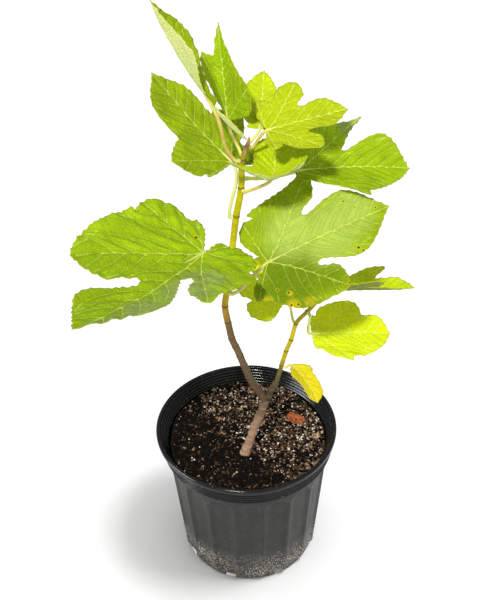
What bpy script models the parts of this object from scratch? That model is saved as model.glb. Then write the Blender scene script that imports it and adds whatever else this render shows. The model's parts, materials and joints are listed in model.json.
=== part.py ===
"""A young fig tree growing in a fluted black nursery pot, in metres with +Z up.

The origin is the middle of the pot's flat underside. The front of the pot is at -Y.
The plant is built from the ground up: pot, soil, trunk with its fork, shoots, then one
object for each leaf, whose blade and stalk are fused.
"""

import math

import bmesh
import bpy
import numpy as np
from mathutils import Vector
from mathutils.geometry import delaunay_2d_cdt

CLEARANCE = 0.0003
# Edges sharper than this stay crisp when a piece is shaded smooth
SHARP_ANGLE = math.radians(35)

# Pot: a number one nursery can, 165 mm across its rim
POT_HEIGHT = 0.150
RIM_RADIUS = 0.0825
MOUTH_RADIUS = 0.0785
LIP_HEIGHT = 0.0050
LIP_ROUND = 0.0012
BAND_RADIUS = 0.0796
BAND_STEP = 0.0006
BAND_BOTTOM = 0.1310
BODY_TOP_RADIUS = 0.0762
FOOT_RADIUS = 0.0660
FOOT_HEIGHT = 0.0080
BASE_RADIUS = 0.0615
WALL = 0.0032
FLOOR = 0.0030
INNER_BASE_RADIUS = 0.0600
TURN_STEPS = 64

# Flutes: shallow round-topped channels pressed into the wall
FLUTES = 18
FLUTE_DEPTH = 0.0022
FLUTE_TOP = 0.1235
FLUTE_ARCH = 0.0120
FLUTE_RAMP = 0.0040
FLUTE_ROWS = (0.1235, 0.1195, 0.1150, 0.1085, 0.0600)
FRONT = math.radians(-90)

# The thin rim has sprung outwards a little on the left
SPRUNG_SIDE = math.radians(180)
SPRUNG_OUT = 0.0030
SPRUNG_FROM = 0.1050

# Drain holes: slots through the foot's corner
DRAIN_HOLES = 8
FIRST_DRAIN = math.radians(-108)
DRAIN_WIDTH = 0.0110
DRAIN_HEIGHT = 0.0060
DRAIN_REACH = 0.0150

# Soil
SOIL_LEVEL = 0.1340
SOIL_FLAT_RADIUS = 0.0500
SOIL_EDGE_DROP = 0.0030

# Wood: centre line points (x, y, z) with the radius there
TRUNK = (
    ((-0.0050, -0.0225, 0.1280), 0.0058),
    ((-0.0030, -0.0216, 0.1345), 0.0047),
    ((0.0010, -0.0205, 0.1470), 0.0040),
    ((0.0070, -0.0195, 0.1680), 0.0039),
    ((0.0130, -0.0185, 0.1860), 0.0039),
    ((0.0165, -0.0180, 0.1985), 0.0040),
)
MAIN_SHOOT = (
    ((0.0165, -0.0180, 0.1965), 0.0037),
    ((0.0125, -0.0180, 0.2050), 0.0035),
    ((0.0065, -0.0180, 0.2150), 0.0033),
    ((-0.0014, -0.0180, 0.2382), 0.0031),
    ((-0.0074, -0.0180, 0.2580), 0.0030),
    ((-0.0113, -0.0180, 0.2690), 0.0029),
    ((-0.0138, -0.0178, 0.2840), 0.0028),
    ((-0.0164, -0.0170, 0.3050), 0.0027),
    ((-0.0142, -0.0160, 0.3200), 0.0027),
    ((-0.0104, -0.0148, 0.3480), 0.0027),
    ((-0.0078, -0.0140, 0.3700), 0.0026),
    ((-0.0053, -0.0130, 0.3894), 0.0026),
    ((-0.0009, -0.0120, 0.4146), 0.0025),
    ((0.0004, -0.0110, 0.4380), 0.0023),
    ((0.0036, -0.0102, 0.4480), 0.0019),
    ((0.0054, -0.0100, 0.4545), 0.0011),
    ((0.0058, -0.0099, 0.4575), 0.0005),
)
SIDE_SHOOT = (
    ((0.0165, -0.0180, 0.1965), 0.0033),
    ((0.0205, -0.0170, 0.2070), 0.0030),
    ((0.0250, -0.0155, 0.2145), 0.0028),
    ((0.0266, -0.0149, 0.2185), 0.0021),
    ((0.0318, -0.0130, 0.2396), 0.0020),
    ((0.0348, -0.0122, 0.2511), 0.0019),
    ((0.0387, -0.0120, 0.2627), 0.0019),
    ((0.0432, -0.0120, 0.2817), 0.0018),
    ((0.0500, -0.0115, 0.2905), 0.0017),
    ((0.0570, -0.0105, 0.2984), 0.0016),
    ((0.0620, -0.0085, 0.3040), 0.0012),
)
# Heights where a shoot is parted, at the fork and at a bend
MAIN_PARTED = (0.2120, 0.3025)
SIDE_PARTED = (0.2160, 0.2830)
LIMB_SIDES = 2
SPLINE_STEPS = 4

# Leaves: blade thickness is a share of the blade's length
THICKNESS_SHARE = 0.011
THINNEST = 0.0009
SHOULDER = 0.95
EDGE_STEPS = 3
GRID = 0.0120
RIB_GRIDS = 9
EDGE_MARGIN = 0.45
STALK_SIDES = 1
STALK_SINK = 0.0006
STALK_RUN = 0.22
STALK_BASE = 0.003
STALK_STEPS = 6
# How much a stalk swells at the limb, and how far its bend reaches, as shares of its span
STALK_FLARE = (1.25, 1.15)
STALK_SPREAD = 0.25
STALK_ARCH = 0.20
STALK_ARRIVE = 0.30
STALK_SAG = 0.06
# Where the stalk's end thins out under the midrib
STALK_FADE = (0.4, 0.8, 1.0)
STALK_THINNING = 0.55

# A lobe is (sinus angle, sinus reach, sinus round, lobe angle, lobe reach, half width).
# Angles are in degrees from the midrib round the end of the stalk, the rest are shares of
# the midrib.
LEAVES = (
    dict(
        name="leaf_lower_left", length=0.160, at=(-0.0307, -0.0357, 0.3730),
        heading=239, pitch=12, roll=-7, fold=(8, 14), droop=-3, twist=22,
        half_width=(0.22, 0.17),
        left=(
            (21, 0.33, 0.022, 34, 0.65, 0.08),
            (75, 0.36, 0, 105, 0.27, 0.08),
            (150, 0.19, 0, 160, 0.16, 0.03),
        ),
        right=(
            (7, 0.46, 0.032, 34, 0.66, 0.17),
            (83, 0.41, 0, 94, 0.41, 0.08),
            (116, 0.33, 0, 136, 0.24, 0.03),
        ),
        limb="main_shoot", node=0.330, leave=230, stalk=0.0017,
    ),
    dict(
        name="leaf_middle_right", length=0.103, at=(0.0189, -0.0303, 0.3585),
        heading=5, pitch=29, roll=26, fold=(13, 5), droop=11, twist=6,
        half_width=(0.25, 0.27),
        left=((29, 0.44, 0.024, 43, 0.73, 0.12), (91, 0.40, 0, 100, 0.37, 0.09)),
        right=((28, 0.40, 0.023, 43, 0.70, 0.13), (75, 0.52, 0, 121, 0.33, 0.06)),
        limb="main_shoot", node=0.319, leave=330, stalk=0.0016,
    ),
    dict(
        name="leaf_upper_left", length=0.093, at=(-0.0072, -0.0036, 0.4332),
        heading=141, pitch=26, roll=3, fold=(8, 2), droop=-15, twist=-7,
        half_width=(0.24, 0.18),
        left=((35, 0.47, 0.012, 64, 0.57, 0.11), (88, 0.42, 0, 92, 0.35, 0.02)),
        right=((25, 0.50, 0.023, 52, 0.59, 0.08), (67, 0.24, 0, 110, 0.41, 0.10)),
        limb="main_shoot", node=0.389, leave=185, stalk=0.0013, spread=0.03, arch=0.30,
    ),
    dict(
        name="leaf_top_folded", length=0.085, at=(-0.0190, -0.0247, 0.4905),
        heading=165, pitch=54, roll=-1, fold=(59, 34), droop=-14, twist=6,
        half_width=(0.28, 0.22),
        left=((24, 0.10, 0, 152, 0.41, 0.05),),
        right=((24, 0.26, 0, 59, 0.10, 0.03),),
        limb="main_shoot", node=0.438, leave=200, stalk=0.0014,
    ),
    dict(
        name="leaf_top_upright", length=0.073, at=(-0.0104, 0.0164, 0.4566),
        heading=105, pitch=73, roll=-41, fold=(41, 31), droop=0, twist=-6,
        half_width=(0.05, 0.07),
        left=((7, 0.69, 0, 16, 0.75, 0.06),),
        right=((19, 0.65, 0, 49, 0.59, 0.19),),
        limb="main_shoot", node=0.441, leave=110, stalk=0.0013,
    ),
    dict(
        name="leaf_crown_right", length=0.062, at=(0.0191, -0.0077, 0.4623),
        heading=11, pitch=10, roll=7, fold=(12, 9), droop=2, twist=4,
        half_width=(0.25, 0.25),
        left=((28, 0.51, 0.040, 49, 0.79, 0.17), (69, 0.44, 0, 91, 0.49, 0.07)),
        right=((28, 0.51, 0.054, 51, 0.82, 0.18), (76, 0.42, 0, 89, 0.50, 0.08)),
        limb="main_shoot", node=0.4490, leave=20, stalk=0.0012,
    ),
    dict(
        name="leaf_crown_back", length=0.068, at=(0.0140, 0.0040, 0.4580),
        heading=86, pitch=14, roll=0, fold=(8, 8), droop=4, twist=0,
        half_width=(0.20, 0.13),
        left=((26, 0.33, 0.020, 40, 0.34, 0.05), (70, 0.14, 0, 92, 0.14, 0.03)),
        right=((27, 0.46, 0.030, 42, 0.52, 0.04), (71, 0.35, 0, 97, 0.32, 0.09)),
        limb="main_shoot", node=0.4450, leave=80, stalk=0.0012,
    ),
    dict(
        name="leaf_right_wide", length=0.095, at=(0.0421, 0.0094, 0.4166),
        heading=9, pitch=2, roll=21, fold=(46, 28), droop=20, twist=14,
        half_width=(0.29, 0.16),
        left=((22, 0.41, 0.016, 39, 0.67, 0.04), (59, 0.44, 0, 102, 0.30, 0.08)),
        right=((26, 0.70, 0, 40, 0.66, 0.05), (60, 0.25, 0, 80, 0.20, 0.04)),
        limb="main_shoot", node=0.4230, leave=10, stalk=0.0015, arch=-0.05,
    ),
    dict(
        name="leaf_crown_cupped", length=0.056, at=(0.0226, -0.0310, 0.4365),
        heading=84, pitch=-14, roll=-4, fold=(28, 26), droop=-46, twist=0,
        half_width=(0.30, 0.28),
        left=((72, 0.33, 0, 128, 0.80, 0.18),),
        right=((58, 0.45, 0, 118, 0.54, 0.16),),
        notch=0.38,
        limb="main_shoot", node=0.4140, leave=310, stalk=0.0013,
    ),
    dict(
        name="leaf_right_folded", length=0.075, at=(0.0683, 0.0099, 0.2992),
        heading=-8, pitch=6, roll=1, fold=(3, 52), droop=0, twist=1,
        half_width=(0.18, 0.18),
        left=((19, 0.58, 0.016, 30, 0.76, 0.07),),
        right=((24, 0.51, 0, 34, 0.81, 0.12),),
        limb="side_shoot", node=0.3000, leave=60, stalk=0.0011,
    ),
    dict(
        name="leaf_lower_right", length=0.068, at=(0.0567, -0.0097, 0.2674),
        heading=4, pitch=0, roll=6, fold=(10, 8), droop=10, twist=9,
        half_width=(0.24, 0.22),
        left=((22, 0.70, 0, 37, 0.73, 0.16), (73, 0.40, 0, 82, 0.30, 0.03)),
        right=((32, 0.74, 0, 49, 0.67, 0.06), (65, 0.49, 0, 85, 0.31, 0.02)),
        limb="side_shoot", node=0.2930, leave=-60, stalk=0.0012,
    ),
    dict(
        name="leaf_yellow_small", length=0.041, at=(0.0386, -0.0190, 0.2407),
        heading=-46, pitch=-14, roll=-19, fold=(17, 19), droop=30, twist=0,
        half_width=(0.25, 0.28),
        left=((25, 0.71, 0, 48, 0.49, 0.07),),
        right=((26, 0.64, 0, 49, 0.50, 0.04),),
        limb="side_shoot", node=0.2345, leave=-30, stalk=0.0009,
    ),
    dict(
        name="leaf_behind_middle", length=0.045, at=(0.0342, 0.0001, 0.2968),
        heading=178, pitch=22, roll=-16, fold=(7, 13), droop=10, twist=0,
        half_width=(0.20, 0.25),
        left=((21, 0.68, 0, 46, 0.88, 0.25),),
        right=((23, 0.60, 0, 43, 0.98, 0.22),),
        limb="side_shoot", node=0.2795, leave=120, stalk=0.0011,
    ),
)


def clear_scene():
    for old in list(bpy.data.objects):
        bpy.data.objects.remove(old, do_unlink=True)


def new_collection(name):
    made = bpy.data.collections.new(name)
    bpy.context.scene.collection.children.link(made)
    return made


def material(name, colour, roughness, metallic=0.0):
    made = bpy.data.materials.new(name)
    made.use_nodes = True
    shader = made.node_tree.nodes["Principled BSDF"]
    shader.inputs["Base Color"].default_value = (*colour, 1.0)
    shader.inputs["Roughness"].default_value = roughness
    shader.inputs["Metallic"].default_value = metallic
    return made


def add_object(name, data, collection, finish=None):
    made = bpy.data.objects.new(name, data)
    collection.objects.link(made)
    if finish is not None:
        data.materials.append(finish)
    return made


def evaluated_mesh(source):
    """The object's mesh as the viewport shows it, with loose caps welded on."""
    bpy.context.view_layer.update()
    seen = source.evaluated_get(bpy.context.evaluated_depsgraph_get())
    mesh = bpy.data.meshes.new_from_object(seen)
    work = bmesh.new()
    work.from_mesh(mesh)
    bmesh.ops.remove_doubles(work, verts=work.verts, dist=1e-6)
    bmesh.ops.recalc_face_normals(work, faces=work.faces)
    work.to_mesh(mesh)
    work.free()
    return mesh


def made_mesh(source):
    """Replaces a curve, or an object with modifiers, by a plain mesh object."""
    mesh = evaluated_mesh(source)
    name, place, collection = source.name, source.matrix_world.copy(), source.users_collection[0]
    bpy.data.objects.remove(source, do_unlink=True)
    made = bpy.data.objects.new(name, mesh)
    made.matrix_world = place
    collection.objects.link(made)
    return made


def fuse(name, pieces, collection, finish):
    """One Boolean union of the first piece with a collection of the others."""
    others = new_collection(name + "_pieces")
    for piece in pieces[1:]:
        collection.objects.unlink(piece)
        others.objects.link(piece)
    union = pieces[0].modifiers.new("union", "BOOLEAN")
    union.operation = "UNION"
    union.operand_type = "COLLECTION"
    union.collection = others
    union.solver = "EXACT"
    mesh = evaluated_mesh(pieces[0])
    for piece in pieces:
        bpy.data.objects.remove(piece, do_unlink=True)
    bpy.data.collections.remove(others)
    mesh.materials.clear()
    return add_object(name, mesh, collection, finish)


def shade_round(mesh):
    """Smooth shading, with the sharp edges kept."""
    mesh.shade_smooth()
    mesh.set_sharp_from_angle(angle=SHARP_ANGLE)


def turned(name, profile, collection, finish):
    """A profile of (radius, height) turned about Z. It runs down the outer side."""
    mesh = bpy.data.meshes.new(name)
    corners = [(radius, 0.0, height) for radius, height in profile]
    mesh.from_pydata(corners, [(i, i + 1) for i in range(len(corners) - 1)], [])
    made = add_object(name, mesh, collection, finish)
    screw = made.modifiers.new("turn", "SCREW")
    screw.axis = "Z"
    screw.steps = TURN_STEPS
    screw.render_steps = TURN_STEPS
    screw.use_merge_vertices = True
    screw.merge_threshold = 0.00001
    return made


def body_radius(height):
    """Outer radius of the pot's wall, without its flutes."""
    share = (height - FOOT_HEIGHT) / (BAND_BOTTOM - FOOT_HEIGHT)
    return FOOT_RADIUS + (BODY_TOP_RADIUS - FOOT_RADIUS) * share


def inner_radius(height):
    share = (height - FLOOR) / (BAND_BOTTOM - FLOOR)
    return INNER_BASE_RADIUS + (BODY_TOP_RADIUS - WALL - INNER_BASE_RADIUS) * share


def pot_profile():
    inside = [
        (0.0, FLOOR),
        (INNER_BASE_RADIUS, FLOOR),
        (inner_radius(BAND_BOTTOM), BAND_BOTTOM),
        (MOUTH_RADIUS - BAND_STEP, POT_HEIGHT - LIP_HEIGHT),
        (MOUTH_RADIUS, POT_HEIGHT - LIP_ROUND),
        (MOUTH_RADIUS + LIP_ROUND, POT_HEIGHT),
    ]
    lip = [
        (RIM_RADIUS - LIP_ROUND, POT_HEIGHT),
        (RIM_RADIUS, POT_HEIGHT - LIP_ROUND),
        (RIM_RADIUS, POT_HEIGHT - LIP_HEIGHT),
    ]
    middle = (POT_HEIGHT - LIP_HEIGHT + BAND_BOTTOM) / 2
    band = [
        (BAND_RADIUS, POT_HEIGHT - LIP_HEIGHT),
        (BAND_RADIUS, middle),
        (BAND_RADIUS - BAND_STEP, middle),
        (BAND_RADIUS - BAND_STEP, BAND_BOTTOM),
    ]
    body = [(body_radius(height), height) for height in (BAND_BOTTOM, *FLUTE_ROWS, FOOT_HEIGHT)]
    foot = [(BASE_RADIUS, 0.0), (0.0, 0.0)]
    return inside + lip + band + body + foot


def flute_depth(angle, height):
    """How far the wall is pressed in at that angle and height."""
    turn = (angle - FRONT) * FLUTES / math.tau
    across = 2 * (turn - round(turn))
    top = FLUTE_TOP - FLUTE_ARCH * (1 - math.sqrt(max(0.0, 1 - across * across)))
    rise = min(1.0, max(0.0, (top - height) / FLUTE_RAMP))
    return FLUTE_DEPTH * (1 - across**4) * rise


def sprung_out(angle, height):
    """How far the rim is pushed out at that angle and height."""
    rise = max(0.0, (height - SPRUNG_FROM) / (POT_HEIGHT - SPRUNG_FROM))
    return SPRUNG_OUT * rise**2 * max(0.0, math.cos(angle - SPRUNG_SIDE)) ** 2


def press_flutes(mesh):
    for vertex in mesh.vertices:
        radius = math.hypot(vertex.co.x, vertex.co.y)
        if radius < INNER_BASE_RADIUS / 2:
            continue
        angle = math.atan2(vertex.co.y, vertex.co.x)
        height = vertex.co.z
        outside = radius > inner_radius(height) + WALL / 2
        move = sprung_out(angle, height)
        if outside and FOOT_HEIGHT / 2 < height <= FLUTE_TOP:
            move -= flute_depth(angle, height)
        vertex.co.x *= 1 + move / radius
        vertex.co.y *= 1 + move / radius


def drain_cutters(collection):
    for hole in range(DRAIN_HOLES):
        angle = FIRST_DRAIN + hole * math.tau / DRAIN_HOLES
        bpy.ops.mesh.primitive_cube_add(size=1)
        cutter = bpy.context.active_object
        cutter.name = f"drain_cutter_{hole}"
        cutter.scale = (DRAIN_REACH, DRAIN_WIDTH, 2 * DRAIN_HEIGHT)
        cutter.rotation_euler = (0, 0, angle)
        cutter.location = (FOOT_RADIUS * math.cos(angle), FOOT_RADIUS * math.sin(angle), 0)
        cutter.hide_render = True
        cutter.display_type = "WIRE"
        for home in list(cutter.users_collection):
            home.objects.unlink(cutter)
        collection.objects.link(cutter)


def build_pot(collection, cutters, finish):
    pot = made_mesh(turned("pot", pot_profile(), collection, None))
    pot.name = "pot"
    pot.data.materials.append(finish)
    press_flutes(pot.data)
    shade_round(pot.data)
    drain_cutters(cutters)
    drill = pot.modifiers.new("drain_holes", "BOOLEAN")
    drill.operation = "DIFFERENCE"
    drill.operand_type = "COLLECTION"
    drill.collection = cutters
    drill.solver = "EXACT"


def build_soil(collection, finish):
    edge = SOIL_LEVEL - SOIL_EDGE_DROP
    floor = FLOOR + CLEARANCE
    profile = [
        (0.0, SOIL_LEVEL),
        (SOIL_FLAT_RADIUS, SOIL_LEVEL),
        (inner_radius(edge) - CLEARANCE, edge),
        (inner_radius(floor) - CLEARANCE, floor),
        (0.0, floor),
    ]
    turned("soil", profile, collection, finish)


def smooth_line(points, steps):
    """A smooth line through the points, with some steps between each two of them."""
    ends = [2 * points[0] - points[1], *points, 2 * points[-1] - points[-2]]
    line = []
    for i in range(1, len(ends) - 2):
        before, start, end, after = (np.array(p, float) for p in ends[i - 1 : i + 3])
        knots = [0.0]
        for a, b in ((before, start), (start, end), (end, after)):
            knots.append(knots[-1] + max(float(np.linalg.norm(b - a)), 1e-9) ** 0.5)
        for step in range(steps):
            t = knots[1] + (knots[2] - knots[1]) * step / steps
            a1 = before + (start - before) * (t - knots[0]) / (knots[1] - knots[0])
            a2 = start + (end - start) * (t - knots[1]) / (knots[2] - knots[1])
            a3 = end + (after - end) * (t - knots[2]) / (knots[3] - knots[2])
            b1 = a1 + (a2 - a1) * (t - knots[0]) / (knots[2] - knots[0])
            b2 = a2 + (a3 - a2) * (t - knots[1]) / (knots[3] - knots[1])
            line.append(b1 + (b2 - b1) * (t - knots[1]) / (knots[2] - knots[1]))
    line.append(np.array(points[-1], float))
    return line


def tube(name, line, sides, collection, finish=None):
    """A tapering round limb along a line of (x, y, z, radius)."""
    curve = bpy.data.curves.new(name, "CURVE")
    curve.dimensions = "3D"
    curve.bevel_depth = max(point[3] for point in line)
    curve.bevel_resolution = sides
    curve.use_fill_caps = True
    spline = curve.splines.new("POLY")
    spline.points.add(len(line) - 1)
    for point, at in zip(spline.points, line):
        point.co = (*at[:3], 1.0)
        point.radius = at[3] / curve.bevel_depth
    return add_object(name, curve, collection, finish)


def limb_line(points):
    return smooth_line([np.array([*at, radius]) for at, radius in points], SPLINE_STEPS)


def parted(line, heights):
    """The line in pieces, parted by a narrow gap at each of the heights."""
    pieces, rest = [], list(line)
    for height in heights:
        i = next(i for i in range(1, len(rest)) if rest[i][2] > height)
        low, high = rest[i - 1], rest[i]
        cut = low + (high - low) * (height - low[2]) / (high[2] - low[2])
        ahead = (high - low) / float(np.linalg.norm((high - low)[:3]))
        pieces.append([*rest[:i], cut - ahead * CLEARANCE / 2])
        rest = [cut + ahead * CLEARANCE / 2, *rest[i:]]
    return [*pieces, rest]


def build_trunk(starts, collection, finish):
    """Trunk and the starts of its two shoots, with a flat cut on the soil."""
    lines = [("trunk", limb_line(TRUNK)), *starts]
    pieces = [made_mesh(tube(name, line, LIMB_SIDES, collection)) for name, line in lines]
    trunk = fuse("trunk_whole", pieces, collection, finish)
    trunk.name = "trunk"
    work = bmesh.new()
    work.from_mesh(trunk.data)
    cut = bmesh.ops.bisect_plane(
        work,
        geom=[*work.verts, *work.edges, *work.faces],
        plane_co=(0, 0, SOIL_LEVEL + CLEARANCE),
        plane_no=(0, 0, 1),
        clear_inner=True,
    )
    rim = [part for part in cut["geom_cut"] if isinstance(part, bmesh.types.BMEdge)]
    bmesh.ops.contextual_create(work, geom=rim)
    bmesh.ops.recalc_face_normals(work, faces=work.faces)
    work.to_mesh(trunk.data)
    work.free()
    shade_round(trunk.data)


def polar(angle, reach):
    turn = math.radians(angle)
    return np.array([reach * math.cos(turn), reach * math.sin(turn)])


def side_edge(half_width, lobes):
    """Points (u, v) of one half's outline from the tip to the last lobe, v positive."""
    edge = [np.array([1.0, 0.0]), np.array([(1 + lobes[0][1]) / 2, half_width])]
    for place, (sinus_angle, sinus, bowl, angle, reach, width) in enumerate(lobes):
        after = lobes[place + 1][1] if place + 1 < len(lobes) else reach / 2
        along, across = polar(angle, 1.0), polar(angle + 90, 1.0)
        outward, round_bowl = polar(sinus_angle, 1.0), polar(sinus_angle + 90, bowl)
        if bowl > 0:
            edge.append(outward * (sinus + bowl) - round_bowl)
        edge.append(outward * sinus)
        if bowl > 0:
            edge.append(outward * (sinus + bowl) + round_bowl)
        edge.append(along * min((sinus + reach) / 2, SHOULDER * reach) - across * width)
        edge.append(along * reach)
        edge.append(along * min((after + reach) / 2, SHOULDER * reach) + across * width)
    return edge


def blade_outline(leaf, steps):
    """The flat outline from the tip round both halves, and the place of its notch."""
    notch = np.array([-leaf.get("notch", 0.01), 0.0])
    left = side_edge(leaf["half_width"][0], leaf["left"])
    right = side_edge(leaf["half_width"][1], leaf["right"])
    left = smooth_line([*left, notch], steps)
    right = smooth_line([*right, notch], steps)
    mirrored = [point * np.array([1, -1]) for point in right]
    return [point * leaf["length"] for point in left + mirrored[-2:0:-1]], len(left) - 1


def blade_frame(leaf):
    """Unit vectors along the midrib, to its left, and out of the upper side."""
    heading, pitch, roll = (math.radians(leaf[k]) for k in ("heading", "pitch", "roll"))
    ahead = Vector((
        math.cos(pitch) * math.cos(heading),
        math.cos(pitch) * math.sin(heading),
        math.sin(pitch),
    ))
    side = Vector((-math.sin(heading), math.cos(heading), 0.0))
    up = ahead.cross(side)
    left = side * math.cos(roll) + up * math.sin(roll)
    return ahead, left, ahead.cross(left)


def on_blade(leaf, u, v, lift=0.0):
    """Where the flat point (u, v) of a blade lies once it is folded, twisted and bent."""
    fold = math.radians(leaf["fold"][0 if v >= 0 else 1])
    twist = math.radians(leaf["twist"]) * u / leaf["length"]
    across = v * math.cos(fold)
    height = abs(v) * math.sin(fold) + lift
    across, height = (
        across * math.cos(twist) - height * math.sin(twist),
        across * math.sin(twist) + height * math.cos(twist),
    )
    bend = math.radians(leaf["droop"]) / leaf["length"]
    along, down = u, 0.0
    if bend != 0:
        along, down = math.sin(bend * u) / bend, (1 - math.cos(bend * u)) / bend
    ahead, left, up = blade_frame(leaf)
    return (
        Vector(leaf["at"])
        + ahead * (along + height * math.sin(bend * u))
        + left * across
        + up * (height * math.cos(bend * u) - down)
    )


def inside(point, outline, margin):
    """True if the point is inside the outline by at least the margin."""
    crossings, nearest = 0, 1e9
    for a, b in zip(outline, [*outline[1:], outline[0]]):
        if (a[1] > point[1]) != (b[1] > point[1]):
            crossings += point[0] < a[0] + (b[0] - a[0]) * (point[1] - a[1]) / (b[1] - a[1])
        share = np.dot(point - a, b - a) / max(np.dot(b - a, b - a), 1e-12)
        nearest = min(nearest, float(np.linalg.norm(a + (b - a) * min(1, max(0, share)) - point)))
    return crossings % 2 == 1 and nearest > margin


def build_blade(leaf, collection):
    """The blade: its flat outline is filled with triangles, bent, and thickened."""
    outline, notch = blade_outline(leaf, EDGE_STEPS)
    length = leaf["length"]
    grid = max(GRID, length / RIB_GRIDS)
    rib = [np.array([u, 0.0]) for u in np.arange(grid / 3, length - grid / 3, grid)]
    inner = []
    row_gap = grid * math.sqrt(3) / 2
    rows = int(length / row_gap) + 1
    for row in range(-rows, rows + 1):
        v = row * row_gap
        if row == 0:
            continue
        for u in np.arange(-length, length, grid):
            point = np.array([u + grid / 2 * (row % 2), v])
            if inside(point, outline, grid * EDGE_MARGIN):
                inner.append(point)
    points = [*outline, *rib, *inner]
    chain = [notch, *range(len(outline), len(outline) + len(rib)), 0]
    edges = list(zip(chain, chain[1:]))
    flat = [Vector((float(p[0]), float(p[1]))) for p in points]
    corners, _, faces, *_ = delaunay_2d_cdt(flat, edges, [list(range(len(outline)))], 1, 1e-7)
    mesh = bpy.data.meshes.new(leaf["name"])
    mesh.from_pydata([on_blade(leaf, c.x, c.y) for c in corners], [], faces)
    blade = add_object(leaf["name"], mesh, collection)
    solid = blade.modifiers.new("thickness", "SOLIDIFY")
    solid.thickness = max(THINNEST, THICKNESS_SHARE * length)
    solid.offset = 0
    return made_mesh(blade)


def limb_at(points, height):
    """Centre and radius of a limb at a height."""
    line = limb_line(points)
    i = next(i for i in range(1, len(line)) if line[i][2] > height)
    low, high = line[i - 1], line[i]
    return low + (high - low) * (height - low[2]) / (high[2] - low[2])


def stalk_line(leaf, limbs):
    """From just clear of the limb, out and up to the blade, then under its midrib."""
    limb = limbs[leaf["limb"]]
    centre, above = limb_at(limb, leaf["node"]), limb_at(limb, leaf["node"] + 0.001)
    grain = Vector((above - centre)[:3]).normalized()
    turn = math.radians(leaf["leave"])
    out = Vector((math.cos(turn), math.sin(turn), 0.0))
    out = (out - grain * out.dot(grain)).normalized()
    radius = leaf["stalk"]
    start = Vector(centre[:3]) + out * (centre[3] + CLEARANCE)
    end = on_blade(leaf, 0.0, 0.0, -STALK_SINK)
    span = (end - start).length
    base = start + out * STALK_BASE
    leave = base + out * span * leaf.get("spread", STALK_SPREAD)
    leave.z += span * leaf.get("arch", STALK_ARCH)
    arrive = end - blade_frame(leaf)[0] * span * STALK_ARRIVE - Vector((0, 0, span * STALK_SAG))
    line = [
        np.array([*start, radius * STALK_FLARE[0]]),
        np.array([*base, radius * STALK_FLARE[1]]),
    ]
    for step in range(1, STALK_STEPS + 1):
        t = step / STALK_STEPS
        point = (
            base * (1 - t) ** 3
            + leave * 3 * t * (1 - t) ** 2
            + arrive * 3 * t * t * (1 - t)
            + end * t**3
        )
        line.append(np.array([*point, radius]))
    for share in STALK_FADE:
        point = on_blade(leaf, STALK_RUN * leaf["length"] * share, 0.0, -STALK_SINK * (1 - share))
        line.append(np.array([*point, radius * (1 - STALK_THINNING * share)]))
    return line


def build_leaf(leaf, limbs, collection, finish):
    blade = build_blade(leaf, collection)
    stalk = made_mesh(tube(leaf["name"] + "_stalk", stalk_line(leaf, limbs), STALK_SIDES, collection))
    made = fuse(leaf["name"] + "_whole", [blade, stalk], collection, finish)
    made.name = leaf["name"]
    shade_round(made.data)


def main():
    clear_scene()
    parts = new_collection("potted_fig")
    cutters = new_collection("cutters")
    plastic = material("black_plastic", (0.045, 0.046, 0.045), 0.45)
    earth = material("potting_soil", (0.035, 0.022, 0.015), 0.95)
    bark = material("bark", (0.16, 0.11, 0.07), 0.8)
    green_wood = material("green_shoot", (0.42, 0.40, 0.05), 0.6)
    foliage = material("leaf_green", (0.27, 0.46, 0.03), 0.5)
    yellow = material("leaf_yellow", (0.68, 0.62, 0.05), 0.5)

    build_pot(parts, cutters, plastic)
    build_soil(parts, earth)
    main_start, main_lower, main_upper = parted(limb_line(MAIN_SHOOT), MAIN_PARTED)
    side_start, side_lower, side_upper = parted(limb_line(SIDE_SHOOT), SIDE_PARTED)
    build_trunk((("main_start", main_start), ("side_start", side_start)), parts, bark)
    tube("main_shoot_lower", main_lower, LIMB_SIDES, parts, bark)
    tube("main_shoot_upper", main_upper, LIMB_SIDES, parts, green_wood)
    tube("side_shoot_lower", side_lower, LIMB_SIDES, parts, green_wood)
    tube("side_shoot_upper", side_upper, LIMB_SIDES, parts, green_wood)
    limbs = {"main_shoot": MAIN_SHOOT, "side_shoot": SIDE_SHOOT}
    for leaf in LEAVES:
        finish = yellow if leaf["name"] == "leaf_yellow_small" else foliage
        build_leaf(leaf, limbs, parts, finish)


if __name__ == "__main__":
    main()
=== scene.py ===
"""A young fig tree in a fluted nursery pot, finished for a plain studio picture."""

import json
import math

import bpy
import numpy as np
from mathutils import Matrix, Vector, noise
from mathutils.geometry import delaunay_2d_cdt

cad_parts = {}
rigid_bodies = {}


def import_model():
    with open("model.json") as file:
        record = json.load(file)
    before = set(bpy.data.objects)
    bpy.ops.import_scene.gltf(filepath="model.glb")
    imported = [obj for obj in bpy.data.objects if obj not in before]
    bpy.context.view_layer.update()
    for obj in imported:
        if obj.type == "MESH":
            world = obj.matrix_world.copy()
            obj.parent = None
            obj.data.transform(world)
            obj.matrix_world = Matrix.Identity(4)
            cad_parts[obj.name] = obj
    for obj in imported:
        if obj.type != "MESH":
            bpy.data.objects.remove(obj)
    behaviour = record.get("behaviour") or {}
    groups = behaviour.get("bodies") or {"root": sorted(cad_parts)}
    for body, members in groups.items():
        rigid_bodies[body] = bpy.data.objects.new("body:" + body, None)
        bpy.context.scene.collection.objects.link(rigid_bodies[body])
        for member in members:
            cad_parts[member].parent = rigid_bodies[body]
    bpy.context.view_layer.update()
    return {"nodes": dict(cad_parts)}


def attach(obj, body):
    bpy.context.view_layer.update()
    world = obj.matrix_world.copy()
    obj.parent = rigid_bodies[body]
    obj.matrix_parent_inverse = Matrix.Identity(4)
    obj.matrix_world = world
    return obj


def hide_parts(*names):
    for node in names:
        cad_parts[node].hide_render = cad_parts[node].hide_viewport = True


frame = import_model()


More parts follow.
